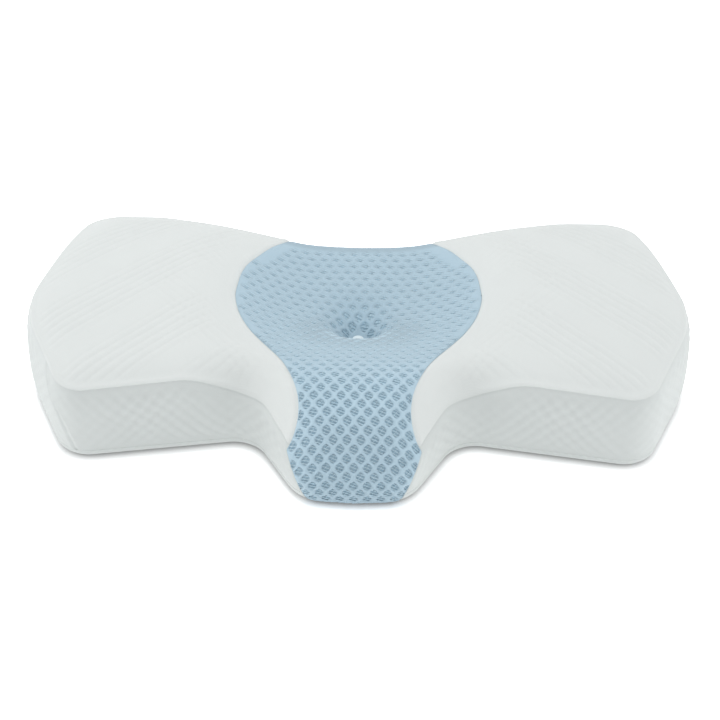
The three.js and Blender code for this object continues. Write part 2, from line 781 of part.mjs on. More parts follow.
// The net as one sheet of tiles, with walls round its eyelets and along its free edges
function netSheet(outerLift, innerLift) {
  const triangles = [];
  const neighbours = [[1, 1], [-1, 1], [-1, -1], [1, -1]];
  for (let column = -columnReach; column <= columnReach; column += 1) {
    for (let row = -rowReach; row <= rowReach; row += 1) {
      if (!isTile(column, row)) continue;
      const eyelet = tileRoom(column, row).least > meshHem;
      const out = tileFace(column, row, outerLift, eyelet);
      const inn = tileFace(column, row, innerLift, eyelet);
      triangles.push(...out.triangles, ...inn.triangles.map(flip));
      out.rim.forEach((p, k) => {
        const next = (k + 1) % out.rim.length;
        triangles.push(...quad(p, out.rim[next], inn.rim[next], inn.rim[k]));
      });
      neighbours.forEach(([c, r], k) => {
        if (isTile(column + c, row + r)) return;
        const next = (k + 1) % out.corners.length;
        triangles.push(...quad(out.corners[next], out.corners[k], inn.corners[k], inn.corners[next]));
      });
    }
  }
  return closedGeometry(triangles);
}

function meshPanel() {
  const net = toSolid(netSheet(netStandOff, netStandOff - netThickness));
  return net.intersect(meshCutter(-layerGap / 2, true)).subtract(tieBore);
}

// A bar carried along the back arc; its section is given as (inset, height) points in order
function arcBar(section, from, to, steps) {
  const slices = [];
  for (let k = 0; k <= steps; k += 1) {
    const angle = THREE.MathUtils.lerp(from, to, k / steps);
    slices.push(section.map((s) => {
      const p = backArcPoint(angle, s.x);
      return new THREE.Vector3(p.x, p.y, s.y);
    }));
  }
  const triangles = [];
  const count = section.length;
  for (let k = 0; k < steps; k += 1) {
    for (let j = 0; j < count; j += 1) {
      const next = (j + 1) % count;
      triangles.push(...quad(slices[k][j], slices[k + 1][j], slices[k + 1][next], slices[k][next]));
    }
  }
  for (let j = 1; j < count - 1; j += 1) {
    triangles.push([slices[0][0], slices[0][j], slices[0][j + 1]]);
    triangles.push([slices[steps][0], slices[steps][j + 1], slices[steps][j]]);
  }
  return closedGeometry(triangles);
}

// Corners of an upright rectangle as (inset, height), in the order that arcBar wants
function uprightSection(outerInset, innerInset, low, high) {
  return [
    new THREE.Vector2(outerInset, low),
    new THREE.Vector2(innerInset, low),
    new THREE.Vector2(innerInset, high),
    new THREE.Vector2(outerInset, high),
  ];
}

// Lengths, angles and insets that the zip's pieces share
const zipHalfLength = backArcHalf - zipEndMargin;
const zipHalfAngle = zipHalfLength / backArcRadius;
const stopAngle = stopLength / backArcRadius;
const gapAngle = layerGap / backArcRadius;
const coilHalfAngle = zipHalfAngle - stopAngle * 2;
const tapeInset = layerGap;
const tapeInner = tapeInset + tapeThickness;
const coilOuter = tapeInner - coilThickness;
const backArcEnd = Math.asin(backArcHalf / backArcRadius);

function backGusset() {
  return toSolid(sheet(isBackWall, 0, coverThickness));
}

// Slot for the zip, and the fine parting beyond its ends, from a height down or up
function zipGap(upper) {
  const edge = upper ? zipHeight + zipSlotHalf : zipHeight - zipSlotHalf;
  const part = upper ? zipHeight + layerGap / 2 : zipHeight - layerGap / 2;
  const far = upper ? -cutOverrun : wingCrownHeight;
  const slot = uprightSection(-cutOverrun, cutOverrun, Math.min(edge, far), Math.max(edge, far));
  const rest = uprightSection(-cutOverrun, cutOverrun, Math.min(part, far), Math.max(part, far));
  const slotAngle = zipHalfAngle + gapAngle;
  const slotSolid = toSolid(arcBar(slot, -slotAngle, slotAngle, zipSteps));
  return slotSolid.add(toSolid(arcBar(rest, -backArcEnd, backArcEnd, zipSteps)));
}

function zipTape(up) {
  const near = zipHeight + up * (coilHalfHeight + layerGap);
  const far = zipHeight + up * (zipSlotHalf - layerGap);
  const section = uprightSection(tapeInset, tapeInner, Math.min(near, far), Math.max(near, far));
  return arcBar(section, -zipHalfAngle, zipHalfAngle, zipSteps);
}

// Half of the coil: a bead with bevelled outer corners
function zipCoil(up) {
  const half = [
    new THREE.Vector2(tapeInner, coilParting / 2),
    new THREE.Vector2(tapeInner, coilHalfHeight),
    new THREE.Vector2(coilOuter + coilBevel, coilHalfHeight),
    new THREE.Vector2(coilOuter, coilHalfHeight - coilBevel),
    new THREE.Vector2(coilOuter, coilParting / 2 + coilBevel),
    new THREE.Vector2(coilOuter + coilBevel, coilParting / 2),
  ];
  const section = half.map((p) => new THREE.Vector2(p.x, zipHeight + up * p.y));
  return arcBar(up > 0 ? section : section.reverse(), -coilHalfAngle, coilHalfAngle, zipSteps);
}

// Top stops, one on each half; the bottom stop holds both halves together
function zipStop(low, high, from, to) {
  const section = uprightSection(tapeInner - stopThickness, tapeInner, low, high);
  return arcBar(section, from, to, 1);
}

function topStop(up) {
  const near = zipHeight + (up * coilParting) / 2;
  const far = zipHeight + up * coilHalfHeight;
  const from = coilHalfAngle + gapAngle;
  return zipStop(Math.min(near, far), Math.max(near, far), from, from + stopAngle);
}

function bottomStop() {
  const to = -coilHalfAngle - gapAngle;
  return zipStop(zipHeight - coilHalfHeight, zipHeight + coilHalfHeight, to - stopAngle, to);
}

// Slider, drawn with x along the zip, y out of the wall and z up, about the zip's own line
const plateFace = -coilOuter + coilClearance;
const plateTop = plateFace + sliderPlate;
const innerFace = -tapeInner - layerGap;
const barAxis = plateTop + bailRise / 2;

function sliderOutline() {
  const nose = sliderLength / 2;
  const tail = -sliderLength / 2;
  const shape = new THREE.Shape();
  shape.moveTo(tail + sliderCorner, -sliderTailHalf);
  shape.lineTo(nose - sliderCorner, -sliderNoseHalf);
  shape.quadraticCurveTo(nose, -sliderNoseHalf, nose, -sliderNoseHalf + sliderCorner);
  shape.lineTo(nose, sliderNoseHalf - sliderCorner);
  shape.quadraticCurveTo(nose, sliderNoseHalf, nose - sliderCorner, sliderNoseHalf);
  shape.lineTo(tail + sliderCorner, sliderTailHalf);
  shape.quadraticCurveTo(tail, sliderTailHalf, tail, sliderTailHalf - sliderCorner);
  shape.lineTo(tail, -sliderTailHalf + sliderCorner);
  shape.quadraticCurveTo(tail, -sliderTailHalf, tail + sliderCorner, -sliderTailHalf);
  return shape;
}

// Turns a drawing in x and z, extruded from low to high, so that it stands out of the wall
function standOut(shape, low, high) {
  const geometry = extrude(shape, high - low, cornerSteps);
  geometry.rotateX(Math.PI / 2);
  geometry.translate(0, high, 0);
  return toSolid(geometry);
}

function bail() {
  const foot = bailHalfLength - bailThickness;
  const top = plateTop + bailRise + bailThickness;
  const shape = new THREE.Shape();
  shape.moveTo(-bailHalfLength, plateFace);
  shape.lineTo(bailHalfLength, plateFace);
  shape.lineTo(bailHalfLength, top - bailThickness);
  shape.quadraticCurveTo(bailHalfLength, top, foot, top);
  shape.lineTo(-foot, top);
  shape.quadraticCurveTo(-bailHalfLength, top, -bailHalfLength, top - bailThickness);
  const eye = new THREE.Path();
  eye.moveTo(-foot, plateTop);
  eye.lineTo(foot, plateTop);
  eye.lineTo(foot, top - bailThickness);
  eye.lineTo(-foot, top - bailThickness);
  shape.holes.push(eye);
  return toSolid(extrude(shape, bailHalfWidth * 2, cornerSteps).translate(0, 0, -bailHalfWidth));
}

function zipSlider() {
  const inner = standOut(sliderOutline(), innerFace - sliderInnerPlate, innerFace);
  const outer = standOut(sliderOutline(), plateFace, plateTop);
  const nose = sliderLength / 2;
  const parting = coilParting / 2 - layerGap;
  const postLow = new THREE.Vector3(nose - sliderPost, innerFace - sliderInnerPlate / 2, -parting);
  const postHigh = new THREE.Vector3(nose, plateFace + sliderPlate / 2, parting);
  let slider = outer.add(inner).add(toSolid(box(postLow, postHigh))).add(bail());
  for (const up of [-1, 1]) {
    const near = up * (coilHalfHeight + coilClearance);
    const far = up * (coilHalfHeight + coilClearance + sliderFlange);
    const low = new THREE.Vector3(-nose + sliderCorner * 2, coilClearance - tapeInset, Math.min(near, far));
    const high = new THREE.Vector3(nose - sliderCorner * 2, plateFace + sliderPlate / 2, Math.max(near, far));
    slider = slider.add(toSolid(box(low, high)));
  }
  return slider;
}

// Pull: a flat tab with an eye round the bail, turning on its cross bar
function zipPull() {
  const shape = new THREE.Shape();
  shape.moveTo(0, pullNeckHalf);
  shape.lineTo(-pullLength + pullTipHalf, pullTipHalf);
  shape.absarc(-pullLength + pullTipHalf, 0, pullTipHalf, Math.PI / 2, -Math.PI / 2, false);
  shape.lineTo(0, -pullNeckHalf);
  const eyeHalf = bailHalfWidth + pullClearance;
  const eye = new THREE.Path();
  eye.moveTo(-pullBarRadius, -eyeHalf);
  eye.lineTo(-pullEyeLength, -eyeHalf);
  eye.lineTo(-pullEyeLength, eyeHalf);
  eye.lineTo(-pullBarRadius, eyeHalf);
  const grip = new THREE.Path();
  const gripEnd = -pullLength + pullTipHalf;
  grip.absarc(gripEnd, 0, pullGripHalf, -Math.PI / 2, Math.PI / 2, true);
  grip.lineTo(gripEnd + pullGripLength, pullGripHalf);
  grip.lineTo(gripEnd + pullGripLength, -pullGripHalf);
  shape.holes.push(eye, grip);
  const tab = standOut(shape, -pullThickness / 2, pullThickness / 2);
  const bar = toSolid(post(pullBarRadius, -pullNeckHalf, pullNeckHalf, smallSides));
  return tab.add(bar);
}

// Tuft: a domed button on the mesh, a tie down the bore and an anchor disc under the core
function tuftButton() {
  const dome = new THREE.Path();
  dome.moveTo(0, 0);
  dome.lineTo(buttonRadius, 0);
  dome.lineTo(buttonRadius, buttonRimHeight);
  dome.quadraticCurveTo(buttonRadius * buttonShoulderShare, buttonHeight, 0, buttonHeight);
  return new THREE.LatheGeometry(dome.getPoints(cornerSteps), roundSides).rotateX(Math.PI / 2);
}

// Where the button's underside lies: just clear of the highest thread of the net under its rim
function buttonSeat(net) {
  const surface = new THREE.Mesh(net, surfaceSides);
  const heights = [];
  for (let k = 0; k < roundSides; k += 1) {
    const rim = new THREE.Vector2(buttonRadius, 0).rotateAround(new THREE.Vector2(), (Math.PI * 2 * k) / roundSides);
    const start = new THREE.Vector3(rim.x, rim.y + tuftY, bowlHeight);
    const hits = new THREE.Raycaster(start, new THREE.Vector3(0, 0, -1)).intersectObject(surface);
    heights.push(hits.length > 0 ? hits[0].point.z : seatHeight);
  }
  return Math.max(...heights) + layerGap;
}

// Finishes, as the photograph shows them
function finish(color, roughness, metalness = 0) {
  return new THREE.MeshStandardMaterial({ color, roughness, metalness });
}

const whiteKnit = finish(0xdee2e1, 0.9);
const whiteGusset = finish(0xcbcfd0, 0.9);
const blueNet = finish(0xa7c0ce, 0.85);
const blueLining = finish(0x86a2b2, 0.95);
const linerCloth = finish(0xeeeeea, 0.9);
const foam = finish(0xf0e9d2, 0.95);
const tapeCloth = finish(0xe2e4e3, 0.85);
const coilPlastic = finish(0xe8eaea, 0.45);
const enamel = finish(0xdfe2e3, 0.35, 0.4);
const buttonCloth = finish(0xdfe6ea, 0.7);

const pillow = new THREE.Group();

function addNode(parent, name, shape, material, x = 0, y = 0, z = 0) {
  const geometry = shape instanceof THREE.BufferGeometry ? shape : toGeometry(shape);
  const mesh = new THREE.Mesh(geometry, material);
  mesh.name = name;
  mesh.position.set(x, y, z);
  parent.add(mesh);
  return mesh;
}

addNode(pillow, 'foam_core', foamCore(), foam);
addNode(pillow, 'liner_upper', linerUpper(), linerCloth);
addNode(pillow, 'liner_lower', linerLower(), linerCloth);
addNode(pillow, 'cover_left_panel', coverPanel(-1), whiteKnit);
addNode(pillow, 'cover_right_panel', coverPanel(1), whiteKnit);
const netGeometry = toGeometry(meshPanel());
addNode(pillow, 'mesh_panel', netGeometry, blueNet);
addNode(pillow, 'mesh_lining', meshLining(), blueLining);
addNode(pillow, 'left_gusset', sideGusset(-1), whiteGusset);
addNode(pillow, 'right_gusset', sideGusset(1), whiteGusset);
addNode(pillow, 'back_gusset_upper', backGusset().subtract(zipGap(true)), whiteGusset);
addNode(pillow, 'back_gusset_lower', backGusset().subtract(zipGap(false)), whiteGusset);
addNode(pillow, 'bottom_panel', bottomPanel(), whiteGusset);
addNode(pillow, 'zip_tape_upper', zipTape(1), tapeCloth);
addNode(pillow, 'zip_tape_lower', zipTape(-1), tapeCloth);
addNode(pillow, 'zip_coil_upper', zipCoil(1), coilPlastic);
addNode(pillow, 'zip_coil_lower', zipCoil(-1), coilPlastic);
addNode(pillow, 'zip_top_stop_upper', topStop(1), enamel);
addNode(pillow, 'zip_top_stop_lower', topStop(-1), enamel);
addNode(pillow, 'zip_bottom_stop', bottomStop(), enamel);

// The slider rests against the top stops; the group turns with the arc, as the slider itself does
const sliderAngle = coilHalfAngle - sliderLength / 2 / backArcRadius;
const sliderPlace = backArcPoint(sliderAngle);
const sliderGroup = new THREE.Group();
sliderGroup.position.set(sliderPlace.x, sliderPlace.y, zipHeight);
sliderGroup.rotation.z = sliderAngle;
addNode(sliderGroup, 'zip_slider', zipSlider(), enamel);
addNode(sliderGroup, 'zip_pull', zipPull(), enamel, 0, barAxis);
pillow.add(sliderGroup);

const buttonPlace = buttonSeat(netGeometry);
addNode(pillow, 'tuft_button', tuftButton(), buttonCloth, 0, tuftY, buttonPlace);
const anchorTop = coreDepth + anchorThickness;
const tie = post(tieRadius, anchorTop + layerGap, buttonPlace - layerGap, smallSides, 0, tuftY);
addNode(pillow, 'tuft_tie', tie, tapeCloth);
addNode(pillow, 'tuft_anchor', post(anchorRadius, coreDepth, anchorTop, roundSides, 0, tuftY), coilPlastic);

// The origin lies under the middle of the whole
const extent = new THREE.Box3().setFromObject(pillow, true);
pillow.position.y = -extent.getCenter(new THREE.Vector3()).y;

export default pillow;
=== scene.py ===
"""Dresses a contoured neck pillow: knit panels, an open net over a lining, a zip, a foam core.

Shapes are worked out in millimetres on the pillow's drawing, whose y axis starts under the middle of
the body, and are put into the frame in metres.
"""

import functools
import math

import bpy
import numpy as np
from mathutils import Matrix, Vector


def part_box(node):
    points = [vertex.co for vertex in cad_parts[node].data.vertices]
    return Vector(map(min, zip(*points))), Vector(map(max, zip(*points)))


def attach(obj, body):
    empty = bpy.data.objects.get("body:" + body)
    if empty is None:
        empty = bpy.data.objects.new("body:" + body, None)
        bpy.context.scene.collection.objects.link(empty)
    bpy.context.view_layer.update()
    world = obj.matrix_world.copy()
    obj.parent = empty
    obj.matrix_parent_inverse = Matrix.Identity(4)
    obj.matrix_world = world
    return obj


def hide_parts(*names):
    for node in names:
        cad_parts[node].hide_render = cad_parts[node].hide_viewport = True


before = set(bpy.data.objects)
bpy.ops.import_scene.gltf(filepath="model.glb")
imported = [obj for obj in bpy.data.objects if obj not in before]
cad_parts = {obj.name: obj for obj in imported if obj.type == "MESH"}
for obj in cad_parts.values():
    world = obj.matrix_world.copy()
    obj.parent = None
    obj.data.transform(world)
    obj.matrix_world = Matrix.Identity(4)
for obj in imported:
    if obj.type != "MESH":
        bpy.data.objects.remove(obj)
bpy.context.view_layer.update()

bl_info = {
    "name": "Contoured Neck Pillow",
    "version": (1, 0, 0),
    "blender": (4, 5, 0),
    "location": "3D View > Sidebar > Pillow",
    "description": "Knit panels, open net, zip and foam core of a contoured neck pillow",
    "category": "Object",
}

# Plan of the pillow's right half in millimetres: corners with their rounding, then the back arc
NOSE_Y = -155.0
NOSE_CROWN = 3.0
CORNERS = np.array([[50.0, NOSE_Y, 42.0], [96.0, -77.0, 33.0], [268.0, -105.0, 36.0],
                    [323.0, 10.0, 115.0], [281.0, 198.0, 46.0]])
ARC_RADIUS = 560.0
ARC_MIDDLE_Y = 160.0
ARC_HALF = 200.0
ARC_EASE = 100.0
BACK_ANGLE = math.asin(ARC_HALF / ARC_RADIUS)

# Heights of the top: rows of (place, height) along the middle and along the wings
MIDDLE_CROWN = np.array([[-155, 64], [-115, 80], [-72, 87], [38, 57], [110, 60], [160, 73]], float)
WING_CROWN = np.array([[-105, 83.5], [-40, 92], [40, 96], [120, 93], [198, 76]], float)
BOWL_X = (40.0, 170.0)
TUFT_Y = 38.0
SEAT_Z = 31.0
SEAT_RADIUS = 7.0
DIMPLE_RADII = (14.0, 24.0)
DIMPLE_FLARE = 1.6

# Rim and wall: insets from the outline
RIM_WIDTH = 36.0
RIM_FALL = 2.2
WING_DROP = 7.0
NOSE_DROP = 28.0
RIM_X = (95.0, 160.0)
RIM_Y = (-40.0, 40.0)
FOOT_INSET = 9.0
LOW_SEAM = (1.5, 9.0)
SEAM_INSET = 7.0
WALL = np.array([[0, 1.5], [0.27, 0], [0.62, 0.77], [0.85, 3.0], [1, SEAM_INSET]])

# Half width of the net's panel: rows of (place, half width) over the top, and (height, half width)
# down the nose
NET_EDGE = np.array([[-129.5, 60.4], [-126.5, 55.8], [-120, 51.8], [-110, 50.2], [-100, 51], [-90, 53.5],
                     [-80, 57], [-67, 62], [-55, 67], [-43, 73.5], [-30, 82], [-18, 90.5], [-3, 101],
                     [19, 112], [45, 118], [67, 117.2], [85, 115], [103, 109.5], [122, 99.5], [137, 90],
                     [148, 81], [157, 73]])
NET_APRON = np.array([[0.5, 42.2], [43.2, 60.4]])
NET_FOOT = 0.35

# Join in the left wall, round its front corner: rows of (share of height, run)
WALL_JOIN = np.array([[0, 295], [0.18, 298], [0.45, 304], [0.65, 313], [0.73, 325], [1, 344]], float)
KINK_Y = -129.5

# Layers, as depths below the surface. The lining's top and the net's two sides have one depth on the
# nose and one in the bowl; the net's upper side stands proud.
CLOTH = 2.2
BACK_CLOTH = 1.3
LINING = (1.2, 0.8)
LINING_THICKNESS = 0.5
NET_FLOOR = (1.0, 0.6)
NET_TOP = (0.4, 0.35)
LINER_SIDES = (2.5, 3.3)
LINER_SEAM = 0.62
FOAM_DEPTH = 3.6
TIE_BORE = 1.3
ANCHOR_POCKET = (10.3, 6.3)

# Zip on the back wall: its height, and how far its slot and the back panels reach along the arc
ZIP_Z = 28.0
SLOT_REACH = 0.3 * ARC_RADIUS
BACK_REACH = BACK_ANGLE * 5 / 6 * ARC_RADIUS

# The slot's half height in the middle and at its tips, the length of its rounded ends and their
# clearance, and the length of the zip's stops
SLOT_HALF = 8.5
SLOT_TIP = 0.15
SLOT_END = 8.0
SLOT_CLEARANCE = 0.4
STOP = 5.0

# Tape: half its length, the depths of its two sides, and its points' distances from the zip's middle
TAPE_HALF = 168.0
TAPE_SIDES = (0.32, 0.86)
TAPE_ACROSS = np.array([3.3, 3.5, 4.6, 5.4, 6.2, 7.2, 8.2, 9.6, 11.0])

# One turn of the coil: rows of (share of the pitch, depth, distance from the zip's middle)
COIL_RADIUS = 0.33
COIL_TURN = np.array([[-0.30, 0.45, 3.0], [-0.30, -0.55, 2.5], [-0.22, -0.95, 1.6], [0.0, -0.75, 0.88],
                      [0.22, -0.1, 0.84], [0.30, 0.3, 1.5], [0.30, 0.5, 3.0]])

# One stitch: its distance from the slot, and its points' shares of the pitch, heights and radii
STITCH_AWAY = 2.6
STITCH_STEPS = np.array([-0.42, -0.3, 0.0, 0.3, 0.42])
STITCH_HEIGHTS = np.array([-0.35, 0.02, 0.22, 0.02, -0.35])
STITCH_RADII = np.array([0.16, 0.26, 0.3, 0.26, 0.16])

# Covered button: its radius, how many pleats it has and how deep they are
BUTTON_RADIUS = 5.8
BUTTON_PLEATS, PLEAT_DEPTH = 18, 0.014

# Numbers of points: rows and columns of a side wall; columns of a back panel beside the slot and
# along its rounded end, and its rows; points round the foam and its liner; flat rings, edge rings
# and points round the underside; points round the button
WALL_GRID = (44, 460)
BACK_GRID = (90, 16, 40)
BODY_POINTS = 360
UNDERSIDE_GRID = (30, 14, 900)
BUTTON_POINTS = 72

# A place well inside the body, from which outward directions are told
BODY_MIDDLE = np.array([0, 20, 35])


def lowest_and_highest(node):
    """The two corners of a CAD node's box, in the frame's metres."""
    low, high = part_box(node)
    return np.array(low), np.array(high)


DRAWING_Y = TUFT_Y - 1000 * float(np.mean([corner[1] for corner in lowest_and_highest("tuft_tie")]))


# ---------------------------------------------------------------- shape of the pillow

def smooth(low, high, x):
    """Eases from 0 to 1 between two limits: three times the share squared less twice its cube."""
    t = np.clip((x - low) / (high - low), 0, 1)
    return t * t * (3 - 2 * t)


def mix(a, b, share):
    """A value between two others: the first plus a share of the difference."""
    return a + (b - a) * share


def crown(profile, place):
    """Smooth height along rows of (place, height).

    Between two rows it is the cubic whose end slopes join each row's two neighbours.
    """
    places, heights = profile.T
    low = np.maximum(np.arange(len(places)) - 1, 0)
    high = np.minimum(np.arange(len(places)) + 1, len(places) - 1)
    slopes = (heights[high] - heights[low]) / (places[high] - places[low])
    at = np.clip(place, places[0], places[-1])
    k = np.clip(np.searchsorted(places, at, side="right") - 1, 0, len(places) - 2)
    span = places[k + 1] - places[k]
    t = (at - places[k]) / span
    ends = heights[k] * (2 * t**3 - 3 * t**2 + 1) + heights[k + 1] * (3 * t**2 - 2 * t**3)
    return ends + span * (slopes[k] * (t**3 - 2 * t**2 + t) + slopes[k + 1] * (t**3 - t**2))


def rounded_corner(before, corner, after, radius):
    """Points of the arc that touches both edges of a corner, two degrees or less apart."""
    back, ahead = before - corner, after - corner
    reach_limit = min(np.linalg.norm(back), np.linalg.norm(ahead)) / 2
    back, ahead = back / np.linalg.norm(back), ahead / np.linalg.norm(ahead)
    half = math.acos(np.clip(back @ ahead, -1, 1)) / 2
    reach = min(radius / math.tan(half), reach_limit)
    bend = reach * math.tan(half)
    middle = back + ahead
    centre = corner + middle / np.linalg.norm(middle) * bend / math.sin(half)
    first, last = corner + back * reach - centre, corner + ahead * reach - centre
    turn = math.atan2(first[0] * last[1] - first[1] * last[0], first @ last)
    angle = np.linspace(0, turn, 46)[:, None]
    across = np.array([-first[1], first[0]])
    return centre + first * np.cos(angle) + across * np.sin(angle)


def arc_place(angle, inset=0.0):
    """Plan place on the back arc: the sine and cosine of the angle times the radius and inset."""
    reach = ARC_RADIUS + inset
    return np.stack([reach * np.sin(angle), ARC_MIDDLE_Y + ARC_RADIUS - reach * np.cos(angle)], -1)


@functools.lru_cache(None)
def half_outline():
    """Right half of the plan, from the nose to the middle of the back, a millimetre apart.

    Rows are (run, x, y, outward x, outward y). The outward direction is square to the line through
    the places three millimetres before and after.
    """
    arc_end = arc_place(BACK_ANGLE)
    tangent = np.array([-math.cos(BACK_ANGLE), -math.sin(BACK_ANGLE)])
    stops = [np.array([0.0, NOSE_Y - NOSE_CROWN]), *CORNERS[:, :2], arc_end, arc_end + tangent * 60]
    radii = [*CORNERS[:, 2], ARC_EASE]
    arcs = [rounded_corner(stops[k], stops[k + 1], stops[k + 2], r) for k, r in enumerate(radii)]
    last = np.linalg.norm(arcs[-1][-1] - arc_end) / ARC_RADIUS
    points = np.concatenate([stops[:1], *arcs, arc_place(np.linspace(BACK_ANGLE - last - 0.01, 0, 120))])
    runs = np.concatenate([[0], np.cumsum(np.linalg.norm(np.diff(points, axis=0), axis=1))])
    run = np.linspace(0, runs[-1], int(runs[-1]) + 1)
    xy = np.stack([np.interp(run, runs, points[:, k]) for k in range(2)], 1)
    flip = np.array([-1, 1])
    wide = np.concatenate([xy[3:0:-1] * flip, xy, xy[-2:-5:-1] * flip])
    along = wide[6:] - wide[:-6]
    along /= np.linalg.norm(along, axis=1)[:, None]
    return np.column_stack([run, xy, along[:, 1], -along[:, 0]])


def outline_at(run, inset):
    """Plan place at a run along the right half, moved inwards by an inset."""
    table = half_outline()
    x, y, out_x, out_y = (np.interp(run, table[:, 0], table[:, k]) for k in range(1, 5))
    return x - out_x * inset, y - out_y * inset


TABLE_STEP = 2.0
TABLE_LOW = (0.0, -170.0)
TABLE_COUNT = (172, 202)


@functools.lru_cache(None)
def inset_table():
    """Distance in from the outline on a plan grid of the right half, negative outside."""
    edge = half_outline()[:, 1:3]
    x = TABLE_LOW[0] + TABLE_STEP * np.arange(TABLE_COUNT[0])
    y = TABLE_LOW[1] + TABLE_STEP * np.arange(TABLE_COUNT[1])
    points = np.stack(np.meshgrid(x, y, indexing="ij"), -1).reshape(-1, 2)
    away = np.concatenate([
        np.sqrt(((part[:, None] - edge) ** 2).sum(-1).min(1)) for part in np.array_split(points, 24)])
    a, b = edge[:-1], edge[1:]
    crossed = np.zeros(len(points), int)
    for part in np.array_split(np.arange(len(a)), 12):
        low, high = a[part], b[part]
        level = (low[:, 1] > points[:, 1:]) != (high[:, 1] > points[:, 1:])
        rise = np.where(high[:, 1] == low[:, 1], 1, high[:, 1] - low[:, 1])
        at = low[:, 0] + (high[:, 0] - low[:, 0]) * (points[:, 1:] - low[:, 1]) / rise
        crossed += (level & (points[:, :1] < at)).sum(1)
    return np.where(crossed % 2 == 1, away, -away).reshape(TABLE_COUNT)


def between(table, row, column):
    """Value of a table at a row and column that may be broken numbers, from its four nearest values."""
    row = np.clip(row, 0, table.shape[0] - 1.001)
    column = np.clip(column, 0, table.shape[1] - 1.001)
    i, j = row.astype(int), column.astype(int)
    deep = (...,) + (None,) * (table.ndim - 2)
    u, v = (row - i)[deep], (column - j)[deep]
    return mix(mix(table[i, j], table[i + 1, j], u), mix(table[i, j + 1], table[i + 1, j + 1], u), v)


def inset_at(x, y):
    """Distance in from the outline at a plan place."""
    return between(inset_table(), (np.abs(x) - TABLE_LOW[0]) / TABLE_STEP, (y - TABLE_LOW[1]) / TABLE_STEP)


def crown_height(x, y):
    """Height of the top without rim and dimple: the middle's crown eases into the wings'."""
    return mix(crown(MIDDLE_CROWN, y), crown(WING_CROWN, y), smooth(*BOWL_X, np.abs(x)))


def rim_drop(x, y, inset):
    """How far the rim has fallen: a power of the share of the rim's width that is left."""
    wing = np.maximum(smooth(*RIM_X, np.abs(x)), smooth(*RIM_Y, y))
    left = np.clip(1 - (inset - SEAM_INSET) / RIM_WIDTH, 0, 1.2)
    return mix(NOSE_DROP, WING_DROP, wing) * left**RIM_FALL


def dimpled(x, y, z):
    """Draws a height down to the tuft's seat by a bell curve of the distance from the seat.

    The curve is narrow in front of the tuft and widens evenly towards the back.
    """
    away = np.hypot(x, y - TUFT_Y)
    radius = mix(*DIMPLE_RADII, (1 + (y - TUFT_Y) / np.maximum(away, 1)) / 2)
    return mix(z, SEAT_Z, np.exp(-((np.maximum(0, away - SEAT_RADIUS) / radius) ** DIMPLE_FLARE)))


def top_height(x, y):
    """Height of the finished top at a plan place."""
    return dimpled(x, y, crown_height(x, y) - rim_drop(x, y, inset_at(x, y)))


def seam_height(run):
    """Height of the upper seam at a run along the outline."""
    x, y = outline_at(run, SEAM_INSET)
    return crown_height(x, y) - rim_drop(x, y, SEAM_INSET)


def whole_run():
    """Run at the middle of the back, where the half outline ends."""
    return half_outline()[-1, 0]


def wall_at(run, share, side=1):
    """Point of the wall: the outline, moved in by the wall's curve, between the two seams.

    The side is 1 on the pillow's right and -1 on its left.
    """
    x, y = outline_at(run, crown(WALL, share))
    return np.stack([x * side, y, mix(LOW_SEAM[1], seam_height(run), share)], -1)


def wall_share(run, z):
    """Share of the way from the lower to the upper seam at a height."""
    return (z - LOW_SEAM[1]) / (seam_height(run) - LOW_SEAM[1])


def net_half(y, z):
    """Half width of the net's panel: by height down the nose, by place over the top."""
    apron = np.interp(z, *NET_APRON.T)
    return np.where(y < KINK_Y, apron, crown(NET_EDGE, y))


# ---------------------------------------------------------------- grids and shells

def grid_faces(rows, columns, wrap_rows=False, wrap_columns=False):
    """Four-cornered faces of a grid whose points are numbered row by row."""
    index = np.arange(rows * columns).reshape(rows, columns)
    if wrap_rows:
        index = np.concatenate([index, index[:1]])
    if wrap_columns:
        index = np.concatenate([index, index[:, :1]], 1)
    return np.stack([index[:-1, :-1], index[1:, :-1], index[1:, 1:], index[:-1, 1:]], -1).reshape(-1, 4)


def grid_normals(points, wrap_rows=False, wrap_columns=False):
    """Unit directions square to a grid: the cross product of its two central differences."""
    def difference(axis, wrap):
        if wrap:
            return np.roll(points, -1, axis) - np.roll(points, 1, axis)
        return np.gradient(points, axis=axis)
    square = np.cross(difference(0, wrap_rows), difference(1, wrap_columns))
    return square / np.maximum(np.linalg.norm(square, axis=-1, keepdims=True), 1e-12)


def outward(points, normals):
    """Turns directions so that they point away from the pillow's middle."""
    away = points - BODY_MIDDLE
    return normals * np.where((normals * away).sum() < 0, -1, 1)


def whole_faces(faces):
    """Drops faces that have shrunk to a line, and makes triangles of those that lost one corner."""
    same = faces == np.roll(faces, -1, axis=1)
    lost = same.sum(1)
    kept = faces[lost == 0]
    kept = kept[(kept[:, 0] != kept[:, 2]) & (kept[:, 1] != kept[:, 3])]
    triangles = faces[lost == 1][~same[lost == 1]].reshape(-1, 3)
    return [kept, triangles[triangles[:, 0] != triangles[:, 2]]]


def free_edges(faces):
    """Directed edges that only one face has."""
    edges = np.concatenate([np.stack([f, np.roll(f, -1, 1)], -1).reshape(-1, 2) for f in faces if len(f)])
    size = edges.max() + 1
    return edges[~np.isin(edges[:, 0] * size + edges[:, 1], edges[:, 1] * size + edges[:, 0])]


